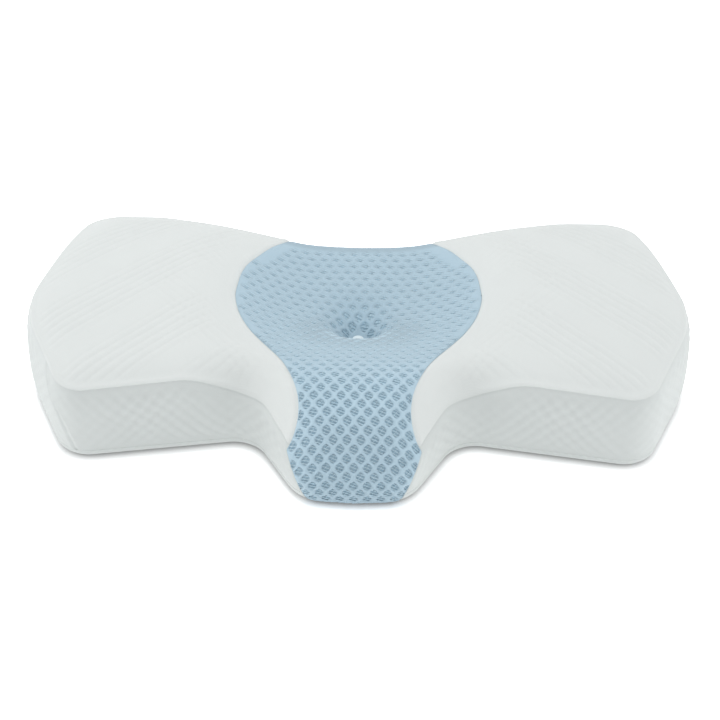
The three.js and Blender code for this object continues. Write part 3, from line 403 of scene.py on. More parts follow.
def sheet_shell(outer, inner, faces, cloth):
    """Closed shell of a sheet: its outer faces, its inner ones turned round, and walls along its
    free edges.

    The third value is the place on the cloth, for patterns that follow it. The last two are the
    outer points and faces alone, which give the sheet's area.
    """
    outer, inner, cloth = (grid.reshape(-1, grid.shape[-1]) for grid in (outer, inner, cloth))
    count = len(outer)
    edges = free_edges(faces)
    walls = np.stack([edges[:, 1], edges[:, 0], edges[:, 0] + count, edges[:, 1] + count], 1)
    every = [*faces, *[f[:, ::-1] + count for f in faces], walls]
    return np.concatenate([outer, inner]), every, np.concatenate([cloth, cloth]), outer, faces


def triangles(points, faces):
    """Corners of the triangles that fan out from the first corner of every face."""
    for f in faces:
        for k in range(1, f.shape[1] - 1):
            yield points[f[:, 0]], points[f[:, k]], points[f[:, k + 1]]


def shell_volume(points, faces):
    """Signed volume of a closed shell: a sixth of the summed triple products of its triangles."""
    return sum(float((a * np.cross(b, c)).sum()) for a, b, c in triangles(points, faces)) / 6


def put_piece(name, shells, material, replaces=(), sharp=50):
    """Makes one object from closed shells in drawing millimetres, and lets it ride on the pillow.

    Faces that meet at more than an angle in degrees get a sharp edge between them. A third number
    of the place on the cloth is the share of painted shade there, kept on the points as an attribute.
    """
    points, cloths, groups, start = [], [], [], 0
    for shell_points, faces, cloth in shells:
        turned = shell_volume(shell_points, faces) < 0
        groups += [(f[:, ::-1] if turned else f) + start for f in faces if len(f)]
        points.append(shell_points)
        cloths.append(cloth)
        start += len(shell_points)
    points, cloths = np.concatenate(points), np.concatenate(cloths)
    loops = np.concatenate([f.ravel() for f in groups])
    sizes = np.concatenate([np.full(len(f), f.shape[1]) for f in groups])
    mesh = bpy.data.meshes.new(name)
    mesh.vertices.add(len(points))
    mesh.vertices.foreach_set("co", ((points - [0, DRAWING_Y, 0]) / 1000).astype(np.float32).ravel())
    mesh.loops.add(len(loops))
    mesh.loops.foreach_set("vertex_index", loops.astype(np.int32))
    mesh.polygons.add(len(sizes))
    mesh.polygons.foreach_set("loop_start", np.concatenate([[0], np.cumsum(sizes)[:-1]]).astype(np.int32))
    mesh.update(calc_edges=True)
    layer = mesh.uv_layers.new(name="Cloth").data
    layer.foreach_set("uv", (cloths[loops, :2] / 1000).astype(np.float32).ravel())
    # Painted shade: the third number of each place is kept on the points for the finish to darken by
    if cloths.shape[1] > 2:
        valley = mesh.attributes.new("PaintedShade", "FLOAT", "POINT")
        valley.data.foreach_set("value", cloths[:, 2].astype(np.float32))
    mesh.shade_smooth()
    mesh.set_sharp_from_angle(angle=math.radians(sharp))
    mesh.materials.append(material)
    piece = bpy.data.objects.new(name, mesh)
    bpy.context.scene.collection.objects.link(piece)
    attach(piece, "pillow")
    if replaces:
        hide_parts(*replaces)
    return piece


def mirrored(shell):
    """The same shell on the pillow's left."""
    points, faces, cloth = shell
    return points * [-1, 1, 1], faces, cloth * [-1, 1, 1][:cloth.shape[1]]


def cloth_area(outer, faces):
    """Area of a sheet's outer faces in square metres: half of each cross product's length."""
    return sum(np.linalg.norm(np.cross(b - a, c - a), axis=1).sum() / 2
               for a, b, c in triangles(outer, faces)) / 1e6


def put_sheet(name, shell, material, node, cut, left=False, sharp=50):
    """Makes a piece of cloth that is stretched over the foam; its cut is (width, length) in mm.

    A piece for the left is the shell's mirror image.
    """
    made = mirrored(shell[:3]) if left else shell[:3]
    piece = put_piece(name, [made], material, [node], sharp=sharp)
    flat = (cut[0] / 1000, cut[1] / 1000)
    area = float(np.clip(cloth_area(*shell[3:]), 0.31 * flat[0] * flat[1], flat[0] * flat[1]))


# ---------------------------------------------------------------- relief of the cloth

# Level of the cloth between the ribs' valleys and their tops, in shares of their height
RIB_LEVEL = 0.64


def bell(place, middle, width):
    """Bell curve of height one."""
    return np.exp(-(((place - middle) / width) ** 2))


def ribs(place, pitch):
    """Pillowy ribs with narrow valleys: the size of a cosine, rounded off near its zeros."""
    return np.sqrt(np.cos(np.pi * place / pitch) ** 2 + 0.02)


def quilt(x, y, to_net, sizes):
    """Quilted bands on the wings, in shares of a rib's height above the level of the cloth.

    Ribs run along one diagonal, and near the net also along the other, in bands with soft ends.
    """
    pitch, period, width = 1000 * sizes.rib_pitch, 1000 * sizes.band_period, 1000 * sizes.band_width
    relief = 0.0
    near = 0.45 * smooth(10, 30, to_net) * (1 - smooth(60, 90, to_net))
    courses = (((x + y) / math.sqrt(2), smooth(15, 60, to_net)), ((x - y) / math.sqrt(2) + 9, near))
    for place, weight in courses:
        off = np.abs(np.mod(place, period) - period / 2)
        band = weight * (1 - smooth(width / 2 - 7, width / 2 + 3, off))
        relief = relief + band * (ribs(place, pitch) - RIB_LEVEL)
    return relief


def diamonds(u, v, sizes):
    """Quilted diamonds on the walls, in shares of their height above the level of the cloth.

    They are the sum of two waves along the diagonals, each with a strength that changes slowly.
    """
    wave = 2 * math.pi / (1000 * sizes.diamond_pitch)
    u, v = u + 0.9 * np.sin(v / 9 + u / 23), v + 0.9 * np.sin(u / 13 + 1.1)
    first = 0.45 + 0.3 * np.sin(u / 19 + v / 33 + 0.6)
    second = 0.45 + 0.3 * np.sin(u / 27 - v / 21 + 2.0)
    return first * np.cos((u + v) * wave) + second * np.cos((u - v) * wave)


def ease_waves(x, y):
    """Slight unevenness of stretched cloth: three long waves across each other."""
    return 0.35 * np.sin(x / 23 + 1.3) * np.sin(y / 31 + 0.4) + 0.25 * np.sin((x + 2 * y) / 37 + 0.8)


def seam_ridge(away):
    """Panel's edge at the upper seam: a rounded ridge with a shallow dip inside it."""
    return 0.8 * bell(away, 1.8, 2.0) - 0.15 * bell(away, 7, 3.2)


def seam_roll(away, sizes):
    """Cloth rolls down into a seam and stands a little proud beside it: two bell curves."""
    valley = -1000 * sizes.seam_depth * bell(away, 0, 1.3)
    return valley + 0.45 * bell(away, 4.2, 2.2)


# ---------------------------------------------------------------- white cover

def fitted_plan(field, low, high, step):
    """Plan grid over the places where a field is positive, its border drawn onto the field's zero.

    Border points walk along the field's slope until it is zero, and cells with no inner point go.
    """
    x, y = np.meshgrid(np.arange(low[0], high[0], step), np.arange(low[1], high[1], step), indexing="ij")
    value = field(x, y).ravel()
    faces = grid_faces(*x.shape)
    inner = value > 0.4 * step
    faces = faces[inner[faces].any(1)]
    points = np.stack([x.ravel(), y.ravel()], 1)
    border = np.flatnonzero(~inner & np.isin(np.arange(len(points)), faces))
    walk = points[border]
    for _ in range(6):
        now = field(*walk.T)
        slope = np.stack([(field(*(walk + step).T) - field(*(walk - step).T)) / 0.4
                          for step in 0.2 * np.eye(2)], 1)
        walk = walk - slope * (now / np.maximum((slope**2).sum(1), 0.05))[:, None]
    points[border] = walk
    used, index = np.unique(faces, return_inverse=True)
    return points[used], index.reshape(faces.shape)


def top_normals(x, y):
    """Unit directions square to the top: minus its slopes, and one."""
    slope_x = top_height(x + 0.5, y) - top_height(x - 0.5, y)
    slope_y = top_height(x, y + 0.5) - top_height(x, y - 0.5)
    square = np.stack([-slope_x, -slope_y, np.ones_like(x)], -1)
    return square / np.linalg.norm(square, axis=-1, keepdims=True)


def cover_panel(sizes):
    """Right wing's panel: the top between the net's edge and the upper seam, raised by the quilt."""
    def to_net(x, y):
        return np.abs(x) - net_half(np.maximum(y, KINK_Y), 99.0)

    def to_seam(x, y):
        return inset_at(x, y) - SEAM_INSET

    plan, faces = fitted_plan(lambda x, y: np.minimum(to_net(x, y), to_seam(x, y)),
                              (40, -132), (326, 212), 1000 * sizes.cover_step)
    x, y = plan.T
    base = np.stack([x, y, top_height(x, y)], 1)
    normals = top_normals(x, y)
    away = np.minimum(np.maximum(to_seam(x, y), 0), 0.8 * np.maximum(to_net(x, y), 0))
    quilting = quilt(x, y, to_net(x, y), sizes) * smooth(3, 12, away)
    relief = 1000 * sizes.rib_height * quilting + ease_waves(x, y) * smooth(2, 20, away)
    relief += seam_ridge(np.maximum(to_seam(x, y), 0)) + seam_roll(0.8 * np.maximum(to_net(x, y), 0), sizes)
    outer = base + normals * relief[:, None]
    # Third column: painted shade in the valleys between the ribs
    cloth = np.column_stack([plan, np.maximum(0, -quilting)])
    return sheet_shell(outer, base - normals * CLOTH, [faces], cloth)


def apron_start(share):
    """Run along the outline at which the net's slanting edge crosses the wall at a share of height."""
    runs = np.linspace(0, 120, 241)
    place = wall_at(runs, share)
    return float(np.interp(0, place[:, 0] - net_half(place[:, 1], place[:, 2]), runs))


def side_gusset(sizes, joined):
    """Right wall from the net's edge on the nose to the back panels, as a grid of runs and shares.

    A joined wall has a sewn join that slants round its front corner.
    """
    rows, columns = WALL_GRID
    shares = np.linspace(0, 1, rows)
    last = whole_run() - BACK_REACH
    starts = np.array([apron_start(share) for share in shares])
    runs = mix(starts[:, None], last, np.linspace(0, 1, columns))
    share = np.broadcast_to(shares[:, None], runs.shape)
    base = wall_at(runs, share)
    height = base[..., 2]
    normals = outward(base, grid_normals(base))
    ends = np.minimum(runs - starts[:, None], last - runs)
    seams = np.minimum(height - LOW_SEAM[1], (1 - share) * (seam_height(runs) - LOW_SEAM[1]))
    away = np.minimum(seams, ends)
    quilting = diamonds(runs, height, sizes) * smooth(2, 9, away)
    waves = 0.6 * ease_waves(runs, height * 2) * smooth(2, 14, away)
    relief = 1000 * sizes.diamond_height * quilting + waves
    relief += seam_roll(away, sizes) * mix(0.3, 0.4, smooth(0.1, 0.4, share))
    if joined:
        relief += 0.8 * seam_roll(np.abs(runs - np.interp(share, *WALL_JOIN.T)), sizes)
    outer = base + normals * relief[..., None]
    # Third column: painted shade, most in the diamonds' valleys and least on their tops
    cloth = np.stack([runs, height, 0.5 - 0.5 * quilting], -1)
    return sheet_shell(outer, base - normals * CLOTH, [grid_faces(*runs.shape)], cloth)


def slot_half(along):
    """Half height of the zip's opening: full in the middle, a quarter ellipse down at both ends."""
    end = np.clip((np.abs(along) - (SLOT_REACH - SLOT_END + SLOT_CLEARANCE)) / SLOT_END, 0, 1)
    return SLOT_TIP + (SLOT_HALF - SLOT_TIP) * np.sqrt(1 - end**2)


def back_gusset(sizes, up):
    """Back wall above or below the zip, as a grid of places along the arc and shares of height."""
    straight, rounded, rows = BACK_GRID
    turn = np.linspace(0, math.pi / 2, rounded)
    ends = np.concatenate([np.linspace(0, SLOT_REACH - SLOT_END, straight)[:-1],
                           SLOT_REACH + SLOT_CLEARANCE - SLOT_END * (1 - np.sin(turn)), [BACK_REACH]])
    along = np.concatenate([-ends[:0:-1], ends])
    run = whole_run() - np.abs(along)
    low = LOW_SEAM[1] if up < 0 else ZIP_Z + slot_half(along)
    high = seam_height(run) if up > 0 else ZIP_Z - slot_half(along)
    share = (1 - np.cos(np.linspace(0, math.pi, rows))) / 2
    height = mix(low, high, share[:, None]) * np.ones_like(along)
    runs = np.broadcast_to(run, height.shape)
    base = wall_at(runs, wall_share(runs, height), np.where(along < 0, -1, 1))
    normals = outward(base, grid_normals(base))
    to_zip = np.abs(height - (low if up > 0 else high))
    to_seam = np.abs(height - (high if up > 0 else low))
    to_side = np.broadcast_to(BACK_REACH - np.abs(along), height.shape)
    away = np.minimum(to_seam, to_side)
    fold = -0.8 * bell(to_zip, 0, 1.2) * smooth(0, 4, SLOT_REACH + 2 - np.abs(along))
    quilting = diamonds(along, height, sizes) * smooth(2, 9, np.minimum(away, to_zip))
    relief = 1000 * sizes.diamond_height * quilting + seam_roll(away, sizes)
    outer = base + normals * (relief + fold)[..., None]
    # Third column: painted shade, most in the diamonds' valleys and least on their tops
    cloth = np.stack([np.broadcast_to(along, height.shape), height, 0.5 - 0.5 * quilting], -1)
    return sheet_shell(outer, base - normals * BACK_CLOTH, [grid_faces(*height.shape)], cloth)


# ---------------------------------------------------------------- closed rings round the body

def ring_runs(count):
    """Runs along both halves of the outline, and the side of each."""
    whole = whole_run()
    run = np.linspace(0, 2 * whole, count, endpoint=False)
    return np.where(run > whole, 2 * whole - run, run), np.where(run > whole, -1, 1)


def flat_ring(runs, sides, share, z, inset=FOOT_INSET):
    """A ring at one height: a share of the way from under the tuft to the inset outline."""
    x, y = outline_at(runs, inset)
    return np.stack([x * sides * share, TUFT_Y + (y - TUFT_Y) * share, z + 0 * runs], -1)


def top_ring(runs, sides, share):
    """A ring on the top: a share of the way from the tuft to the upper seam, seen from above."""
    x, y = outline_at(runs, SEAM_INSET)
    x, y = x * sides * share, TUFT_Y + (y - TUFT_Y) * share
    return np.stack([x, y, top_height(x, y)], -1)


def bevel_ring(runs, sides, turn):
    """A ring of the rounded edge under the lower seam: a quarter ellipse from flat to upright."""
    inset = mix(FOOT_INSET, LOW_SEAM[0], np.sin(turn))
    return flat_ring(runs, sides, 1, LOW_SEAM[1] * (1 - np.cos(turn)), inset)


def round_ring(runs, sides, radius, z):
    """A circle about the tuft, its points on the same rays as the outline's."""
    x, y = outline_at(runs, SEAM_INSET)
    angle = np.arctan2(y - TUFT_Y, x * sides)
    return np.stack([radius * np.cos(angle), TUFT_Y + radius * np.sin(angle), np.full(runs.shape, z)], -1)


def lower_rings(runs, sides, walls):
    """Rings from under the tuft outwards, round the lower edge and up the wall."""
    flat = [flat_ring(runs, sides, share, 0.0) for share in (0.06, 0.3, 0.6, 0.85, 0.97)]
    bevel = [bevel_ring(runs, sides, turn) for turn in np.linspace(0, math.pi / 2, 7)]
    wall = [wall_at(runs, share, sides) for share in walls]
    return [*flat, *bevel, *wall]


def upper_rings(runs, sides, walls, shares):
    """Rings from a share of the wall's height up to the seam and in to the tuft."""
    wall = [wall_at(runs, share, sides) for share in walls]
    return [*wall, *[top_ring(runs, sides, share) for share in shares]]


TOP_SHARES = np.concatenate([1 - np.linspace(0, 1, 30)[1:-1] ** 1.1, [0.03]])
RING_LENGTH = 1900.0
RING_PITCH = 9.0


def sunk(rings, depth):
    """Rings moved inwards along the surface's own directions by a depth."""
    grid = np.stack(rings)
    return grid - outward(grid, grid_normals(grid, wrap_columns=True)) * depth


def ring_shell(outer, inner):
    """Closed shell between two stacks of rings, its cloth laid out by the way round and inwards."""
    rows, columns = outer.shape[:2]
    across, along = np.meshgrid(np.arange(rows) * RING_PITCH, np.arange(columns) * RING_LENGTH / columns,
                                indexing="ij")
    faces = [grid_faces(rows, columns, wrap_columns=True)]
    return sheet_shell(outer, inner, faces, np.stack([along, across], -1))


def closed_pole(points, faces, cloth, ring):
    """Closes the round hole inside a ring of points with a fan about its middle."""
    middle = len(points)
    fan = np.stack([ring, np.roll(ring, -1), np.full(len(ring), middle)], 1)
    centre = points[ring].mean(0, keepdims=True)
    return (np.concatenate([points, centre]), [*faces, fan],
            np.concatenate([cloth, cloth[ring].mean(0, keepdims=True)]))


def foam_shell():
    """The moulded core, with the tie's bore and the anchor's pocket, as one ring of rings."""
    runs, sides = ring_runs(BODY_POINTS)
    walls = np.linspace(0, 1, 9)[1:]
    core = sunk([*lower_rings(runs, sides, walls), *upper_rings(runs, sides, [], TOP_SHARES)], FOAM_DEPTH)
    radius, pocket = ANCHOR_POCKET
    bore = [round_ring(runs, sides, TIE_BORE, z) for z in (SEAT_Z - FOAM_DEPTH, pocket)]
    foot = [round_ring(runs, sides, radius, z) for z in (pocket, FOAM_DEPTH)]
    grid = np.concatenate([core, bore, foot])
    rows, columns = grid.shape[:2]
    cloth = np.zeros((rows * columns, 2))
    return grid.reshape(-1, 3), [grid_faces(rows, columns, True, True)], cloth


def liner_shells():
    """Upper and lower half of the liner, parted on the wall by a narrow gap."""
    runs, sides = ring_runs(BODY_POINTS)
    gap = 0.004
    upper = upper_rings(runs, sides, np.linspace(LINER_SEAM + gap, 1, 5)[:-1], [1, *TOP_SHARES])
    lower = lower_rings(runs, sides, np.linspace(0, LINER_SEAM - gap, 6)[1:])
    return [ring_shell(*(sunk(rings, depth) for depth in LINER_SIDES)) for rings in (upper, lower)]


def underside_shell(sizes):
    """The underside with its rounded edge, from the middle out to the lower seam."""
    level, edge, around = UNDERSIDE_GRID
    runs, sides = ring_runs(around)
    flat = [flat_ring(runs, sides, share, 0.0) for share in np.linspace(0.03, 1, level)]
    under_net = smooth(NET_APRON[0, 1] + 3.2, NET_APRON[0, 1] + 0.4, outline_at(runs, LOW_SEAM[0])[0])
    last = mix(math.pi / 2, NET_FOOT, under_net * (runs < 200))
    bevel = [bevel_ring(runs, sides, last * share) for share in np.linspace(0, 1, edge)[1:]]
    rings = np.stack([*flat, *bevel])
    normals = outward(rings, grid_normals(rings, wrap_columns=True))
    to_seam = (1 - np.sin(np.linspace(0, math.pi / 2, edge)[1:])) * 11.8
    to_seam = np.concatenate([np.full(level, 12.0), to_seam])
    roll = np.minimum(seam_roll(to_seam, sizes), 0) * smooth(0, 3, rings[:, 0, 2])
    outer, inner = rings + normals * roll[:, None, None], rings - normals * CLOTH
    rows, columns = rings.shape[:2]
    faces = [grid_faces(rows, columns, wrap_columns=True)]
    outer, faces, cloth = closed_pole(outer.reshape(-1, 3), faces, rings[..., :2].reshape(-1, 2),
                                      np.arange(columns)[::-1])
    inner = np.concatenate([inner.reshape(-1, 3), inner[0].mean(0, keepdims=True)])
    return sheet_shell(outer, inner, faces, cloth)


# ---------------------------------------------------------------- net and lining

NET_COLUMNS = 128
RUN_LOW, RUN_HIGH = -330.0, 200.0

# The holes: power of their rounded diamond, their share of the width and length in the bowl, how far
# they keep from the panel's edge on the nose and in the bowl, and from the tuft
HOLE_POWER = 1.65
BOWL_HOLE = (0.7, 0.34)
HOLE_MARGIN = (-1.5, 3.2)
RIM_MARGIN = (1.0, 2.2)
BACK_MARGIN = 7.0
TUFT_MARGIN = 9.0

# A web's rings: their shares of the way from the hole to the tile's border, with and without a hole,
# and their shares of its height, on the nose and in the bowl
WEB_SHARES = np.array([0.0, 0.25, 0.6, 1.0])
CLOSED_SHARES = np.array([0.0, 0.0, 0.55, 1.0])
WEB_RISES = np.array([[0.0, 0.6, 0.94, 1.0], [0.0, 0.25, 0.55, 1.0]])

# Points on each side of a tile's border: one flank, the two sides up to the tip, and again
BORDER_COUNTS = (2, 5, 5, 2, 5, 5)

# Threads in a hole: slant in degrees, place beside the hole's middle, share of the thread's radius
THREADS = [(-21, -2.9, 1.0), (-21, 0.0, 1.0), (-21, 2.8, 1.0), (55, 0.3, 0.55)]

# A thread's points in shares of its reach, its depth on the nose and in the bowl, how much deeper it
# lies for each millimetre up the hole, and how far it bows up
THREAD_STEPS = np.array([-1.0, -0.35, 0.35, 1.0])
THREAD_DEPTHS = (0.45, 0.5)
THREAD_SLOPE = 0.07
THREAD_BOW = 0.25

# Painted shade on the net: in the bowl, between the webs and less on them, before the tuft, along the hem
# at the back and at the nose's foot
BOWL_SHADE, WEB_SHADE = 2.9, 1.9
TUFT_SHADE, HEM_SHADE, FOOT_SHADE = 2.2, 2.6, 1.2


@functools.lru_cache(None)
def net_table():
    """Profiles over the undimpled surface in upright planes a millimetre apart.

    Rows go out from the middle; along each, (y, height) stand at every millimetre of the run over
    the surface, counted from where it passes level with the tuft. The last two values are the runs
    at which the front wall starts and the back seam lies.
    """
    shares = np.linspace(0, 1, 24)
    runs = np.linspace(0, 400, 801)
    front = [*[bevel_ring(runs, 1, turn) for turn in np.linspace(NET_FOOT, math.pi / 2, 9)[:-1]],
             *[wall_at(runs, share) for share in shares]]
    back_runs = whole_run() - np.linspace(0, 160, 321)
    back = [wall_at(back_runs, share) for share in shares[::-1]]
    every = np.arange(RUN_LOW, RUN_HIGH + 1)
    rows, ends = [], []
    for x in np.arange(NET_COLUMNS, dtype=float):
        first, last = (np.array([[np.interp(x, ring[:, 0], ring[:, k]) for k in (1, 2)] for ring in rings])
                       for rings in (front, back))
        y = np.linspace(first[-1, 0], last[0, 0], 302)[1:-1]
        z = crown_height(x, y) - rim_drop(x, y, inset_at(np.full_like(y, x), y))
        line = np.concatenate([first, np.stack([y, z], 1), last])
        run = np.concatenate([[0], np.cumsum(np.linalg.norm(np.diff(line, axis=0), axis=1))])
        run -= np.interp(TUFT_Y, line[:, 0], run)
        rows.append(np.stack([np.interp(every, run, line[:, k]) for k in range(2)], -1))
        ends.append((run[0], run[len(first) + len(y)]))
    return np.array(rows), np.array(ends)


def net_place(x, run):
    """Point of the net's surface at a distance from the middle and a run over the surface."""
    y, z = np.moveaxis(between(net_table()[0], np.abs(x), run - RUN_LOW), -1, 0)
    return np.stack([x, y, dimpled(x, y, z)], -1)


def net_normals(x, run):
    """Unit directions square to the net's surface, from places a little to each side."""
    across = net_place(x + 0.6, run) - net_place(x - 0.6, run)
    along = net_place(x, run + 0.6) - net_place(x, run - 0.6)
    square = np.cross(across, along)
    return square / np.linalg.norm(square, axis=-1, keepdims=True)


def panel_ends(x):
    """Runs at which the net's panel starts and ends at a distance from the middle."""
    return [np.interp(np.abs(x), np.arange(NET_COLUMNS), net_table()[1][:, k]) for k in range(2)]


def fit_to_panel(x, run, margin=0.0):
    """Moves places that lie outside the net's panel onto its edge.

    The half width is read where the place lies, so it is read four times over. The last value has
    one bit for each edge that a place was moved to.
    """
    start = x
    for _ in range(4):
        foot, back = panel_ends(x)
        foot, back = foot + margin, back - margin
        held = np.clip(run, foot, back)
        place = net_place(x, held)
        half = net_half(place[..., 1], place[..., 2]) - margin
        x = np.clip(start, -half, half)
    bits = (x != start) * np.where(start > 0, 1, 2) + (run < foot) * 4 + (run > back) * 8
    return x, held, bits


def panel_away(x, run):
    """Roughly how far a place lies in from the edges of the net's panel."""
    place, (foot, back) = net_place(x, run), panel_ends(x)
    side = 0.85 * (net_half(place[..., 1], place[..., 2]) - np.abs(x))
    return np.maximum(np.minimum(np.minimum(side, run - foot), back - run), 0)


def in_bowl(x, run):
    """Share of the bowl's closed look: it grows behind the neck roll's crest and fades at the tuft."""
    return smooth(-140, -68, run) * smooth(12, 42, np.hypot(x, run))


def merged(flat, faces):
    """Makes one of places that lie on each other: gives which are kept, and the faces that remain."""
    _, first, back = np.unique(np.round(flat, 3) + 0.0, axis=0, return_index=True, return_inverse=True)
    return first, [f for f in whole_faces(back.reshape(-1)[faces]) if len(f)]


def tile_centres(sizes):
    """Middles of the net's holes: every second place of a grid of half pitches."""
    half_x, half_run = 500 * sizes.hole_pitch_across, 500 * sizes.hole_pitch_along
    i, j = np.meshgrid(np.arange(-21, 22), np.arange(-40, 22), indexing="ij")
    kept = (i + j) % 2 == 1
    return np.stack([i[kept] * half_x, j[kept] * half_run], 1)


def tile_border(sizes):
    """Border of a tile, the places nearer to its hole than to any other: a long hexagon."""
    a, b = 500 * sizes.hole_pitch_across, 500 * sizes.hole_pitch_along
    tip = (a * a + b * b) / (2 * b)
    flank = ((a * a + b * b) / 2 - a * a) / b
    corners = np.array([[a, -flank], [a, flank], [0, tip], [-a, flank], [-a, -flank], [0, -tip]])
    return np.concatenate([mix(corners[k], corners[(k + 1) % 6], (np.arange(count) / count)[:, None])
                           for k, count in enumerate(BORDER_COUNTS)])


def net_tiles(sizes):
    """Places of all tiles from the hole's edge to the border, and which tiles have a hole.

    A hole's edge is a rounded diamond on the border's rays: the powers of its two shares add up to
    one. Where the panel ends inside a tile, border and hole are both drawn in, and a tile whose
    middle is lost has no hole.
    """
    centres, border = tile_centres(sizes), tile_border(sizes)
    angle = np.arctan2(border[:, 1], border[:, 0])
    a, b = 500 * sizes.hole_width, 500 * sizes.hole_length
    hole = np.stack([np.cos(angle), np.sin(angle)], 1)
    hole = hole / ((np.abs(hole) / (a, b)) ** HOLE_POWER).sum(1, keepdims=True) ** (1 / HOLE_POWER)
    bowl = in_bowl(*centres.T)
    scale = mix(np.array([1.0, 1.0]), np.array(BOWL_HOLE), bowl[:, None])
    margin = mix(*HOLE_MARGIN, bowl) + smooth(60, 90, centres[:, 1]) * BACK_MARGIN
    open_hole = fit_to_panel(*centres.T, margin)[2] == 0
    open_hole &= np.hypot(*centres.T) > TUFT_MARGIN

    def fitted(place, margin=0.0):
        x, run, bits = fit_to_panel(place[..., 0], place[..., 1], margin)
        return np.stack([x, run], -1), bits

    rim, _ = fitted(centres[:, None] + hole * scale[:, None] * open_hole[:, None, None],
                    mix(*RIM_MARGIN, bowl)[:, None])
    far, bits = fitted(centres[:, None] + border)
    whole = (bits == 0).any(1) | open_hole
    inner = np.where(open_hole[:, None, None], rim, fitted(centres)[0][:, None])
    return inner[whole], far[whole], open_hole[whole], centres[whole]


def net_shade(x, run, rise):
    """How much painted shade the net gets at a place that lies at a share of the web's height."""
    hem, foot = smooth(14, 7, panel_ends(x)[1] - run), smooth(-200, -245, run)
    front = smooth(50, 20, np.hypot(0.6 * x, run + 20))
    # Painted shade in the bowl, less on the webs, and before the tuft
    dip = in_bowl(x, run) * (BOWL_SHADE - WEB_SHADE * rise) + TUFT_SHADE * front
    return 1 - rise + dip + HEM_SHADE * hem + FOOT_SHADE * foot


def net_shell(sizes):
    """The net: rounded webs between the holes, with one grid of rings for each tile.

    The web's height follows the share of the way from the hole's edge to the tile's border.
    """
    inner, far, open_hole, centres = net_tiles(sizes)
    tiles, around = far.shape[:2]
    levels = len(WEB_SHARES)
    shares = np.where(open_hole[:, None], WEB_SHARES, CLOSED_SHARES)
    place = inner[:, :, None] + (far - inner)[:, :, None] * shares[:, None, :, None]
    rise = mix(*WEB_RISES, in_bowl(*centres.T)[:, None, None])
    rise = np.where(open_hole[:, None, None], rise, 1.0) * np.ones((tiles, around, 1))
    index = np.arange(tiles * around * levels).reshape(tiles, around, levels)
    nxt = np.roll(index, -1, axis=1)
    faces = np.stack([index[:, :, :-1], index[:, :, 1:], nxt[:, :, 1:], nxt[:, :, :-1]], -1).reshape(-1, 4)
    flat = place.reshape(-1, 2)
    first, kept = merged(flat, faces)
    rise, flat = rise.reshape(-1)[first], flat[first]
    x, run = flat.T
    edge = panel_away(x, run)
    kept = [f[~(edge[f] < 0.02).all(1)] for f in kept]
    surface, normals = net_place(x, run), net_normals(x, run)
    low, top = mix(*NET_FLOOR, in_bowl(x, run)), mix(*NET_TOP, in_bowl(x, run))
    height = mix(0.12 - low, top, rise)
    height = mix(np.minimum(height, -0.6), height, smooth(0, 2.2, edge))
    outer = surface + normals * height[:, None]
    lower = surface - normals * low[:, None]
    # Third column: painted shade from net_shade
    return sheet_shell(outer, lower, kept, np.column_stack([flat, net_shade(x, run, rise)]))


def lining_shell():
    """The lining under the net, as a grid of places drawn onto the panel's edges."""
    x, run = np.meshgrid(np.arange(-122, 122.1, 2.0), np.arange(-290, 142, 2.0), indexing="ij")
    faces = grid_faces(*x.shape)
    x, run, bits = (grid.ravel() for grid in fit_to_panel(x, run, 0.1))
    faces = faces[np.bitwise_and.reduce(bits[faces], axis=1) == 0]
    flat = np.stack([x, run], 1)
    first, kept = merged(flat, faces)
    flat = flat[first]
    surface, normals = net_place(*flat.T), net_normals(*flat.T)
    depth = mix(*LINING, in_bowl(*flat.T))[:, None]
    outer, inner = surface - normals * depth, surface - normals * (depth + LINING_THICKNESS)
    return sheet_shell(outer, inner, kept, flat)


def thread_shells(sizes):
    """Spacer threads in the holes: three slanting bars, the upper ones deeper, and a thin one across.

    Each bar's section is a triangle about a straight line in the tile, carried onto the surface.
    """
    _, _, open_hole, centres = net_tiles(sizes)
    centres = centres[open_hole]
    reach, radius = 500 * sizes.hole_length + 1.0, 1000 * sizes.thread_radius
    shells = []
    steps = THREAD_STEPS
    turn = np.array([90, 210, 330]) * math.pi / 180
    for slant, off, part in THREADS:
        angle = math.radians(slant)
        way = np.array([math.cos(angle), math.sin(angle)])
        side = np.array([-way[1], way[0]])
        place = centres[:, None] + side * off + (steps * reach)[:, None] * way
        spread = place[:, :, None] + side * (part * radius * np.cos(turn))[:, None]
        x, run, _ = fit_to_panel(spread[..., 0], spread[..., 1], 1.0)
        bow = THREAD_BOW * (1 - steps**2)[:, None]
        nose, bowl = THREAD_DEPTHS
        level = mix(nose + THREAD_SLOPE * off, bowl, in_bowl(*centres.T))[:, None, None]
        lift = part * radius * np.sin(turn) - level + bow
        points = net_place(x, run) + net_normals(x, run) * lift[..., None]
        count = len(centres)
        one = grid_faces(len(steps), 3, wrap_columns=True)
        caps = np.array([[2, 1, 0], [9, 10, 11]])
        base = (np.arange(count) * 12)[:, None, None]
        faces = [(one + base).reshape(-1, 4), (caps + base).reshape(-1, 3)]
        shells.append((points.reshape(-1, 3), faces, np.stack([x, run], -1).reshape(-1, 2)))
    return shells


# ---------------------------------------------------------------- zip

def arc_point(along, inset, z):
    """Point on the back wall's arc, at a distance along it, an inset and a height."""
    plan = arc_place(np.asarray(along) / ARC_RADIUS, np.asarray(inset))
    return np.concatenate([plan, np.broadcast_to(z, plan.shape[:-1])[..., None]], -1)


def tape_shell(up):
    """Woven tape: a thin strip that runs beside the coil and dips under the folded cloth."""
    along = np.linspace(-TAPE_HALF, TAPE_HALF, 170)[:, None]
    across = TAPE_ACROSS
    dip = 1.1 * smooth(5.2, 8.0, across)
    outer, inner = (arc_point(along, depth + dip, ZIP_Z + up * across) for depth in TAPE_SIDES)
    cloth = np.stack(np.broadcast_arrays(along, across), -1)
    return sheet_shell(outer, inner, [grid_faces(len(along), len(across))], cloth)


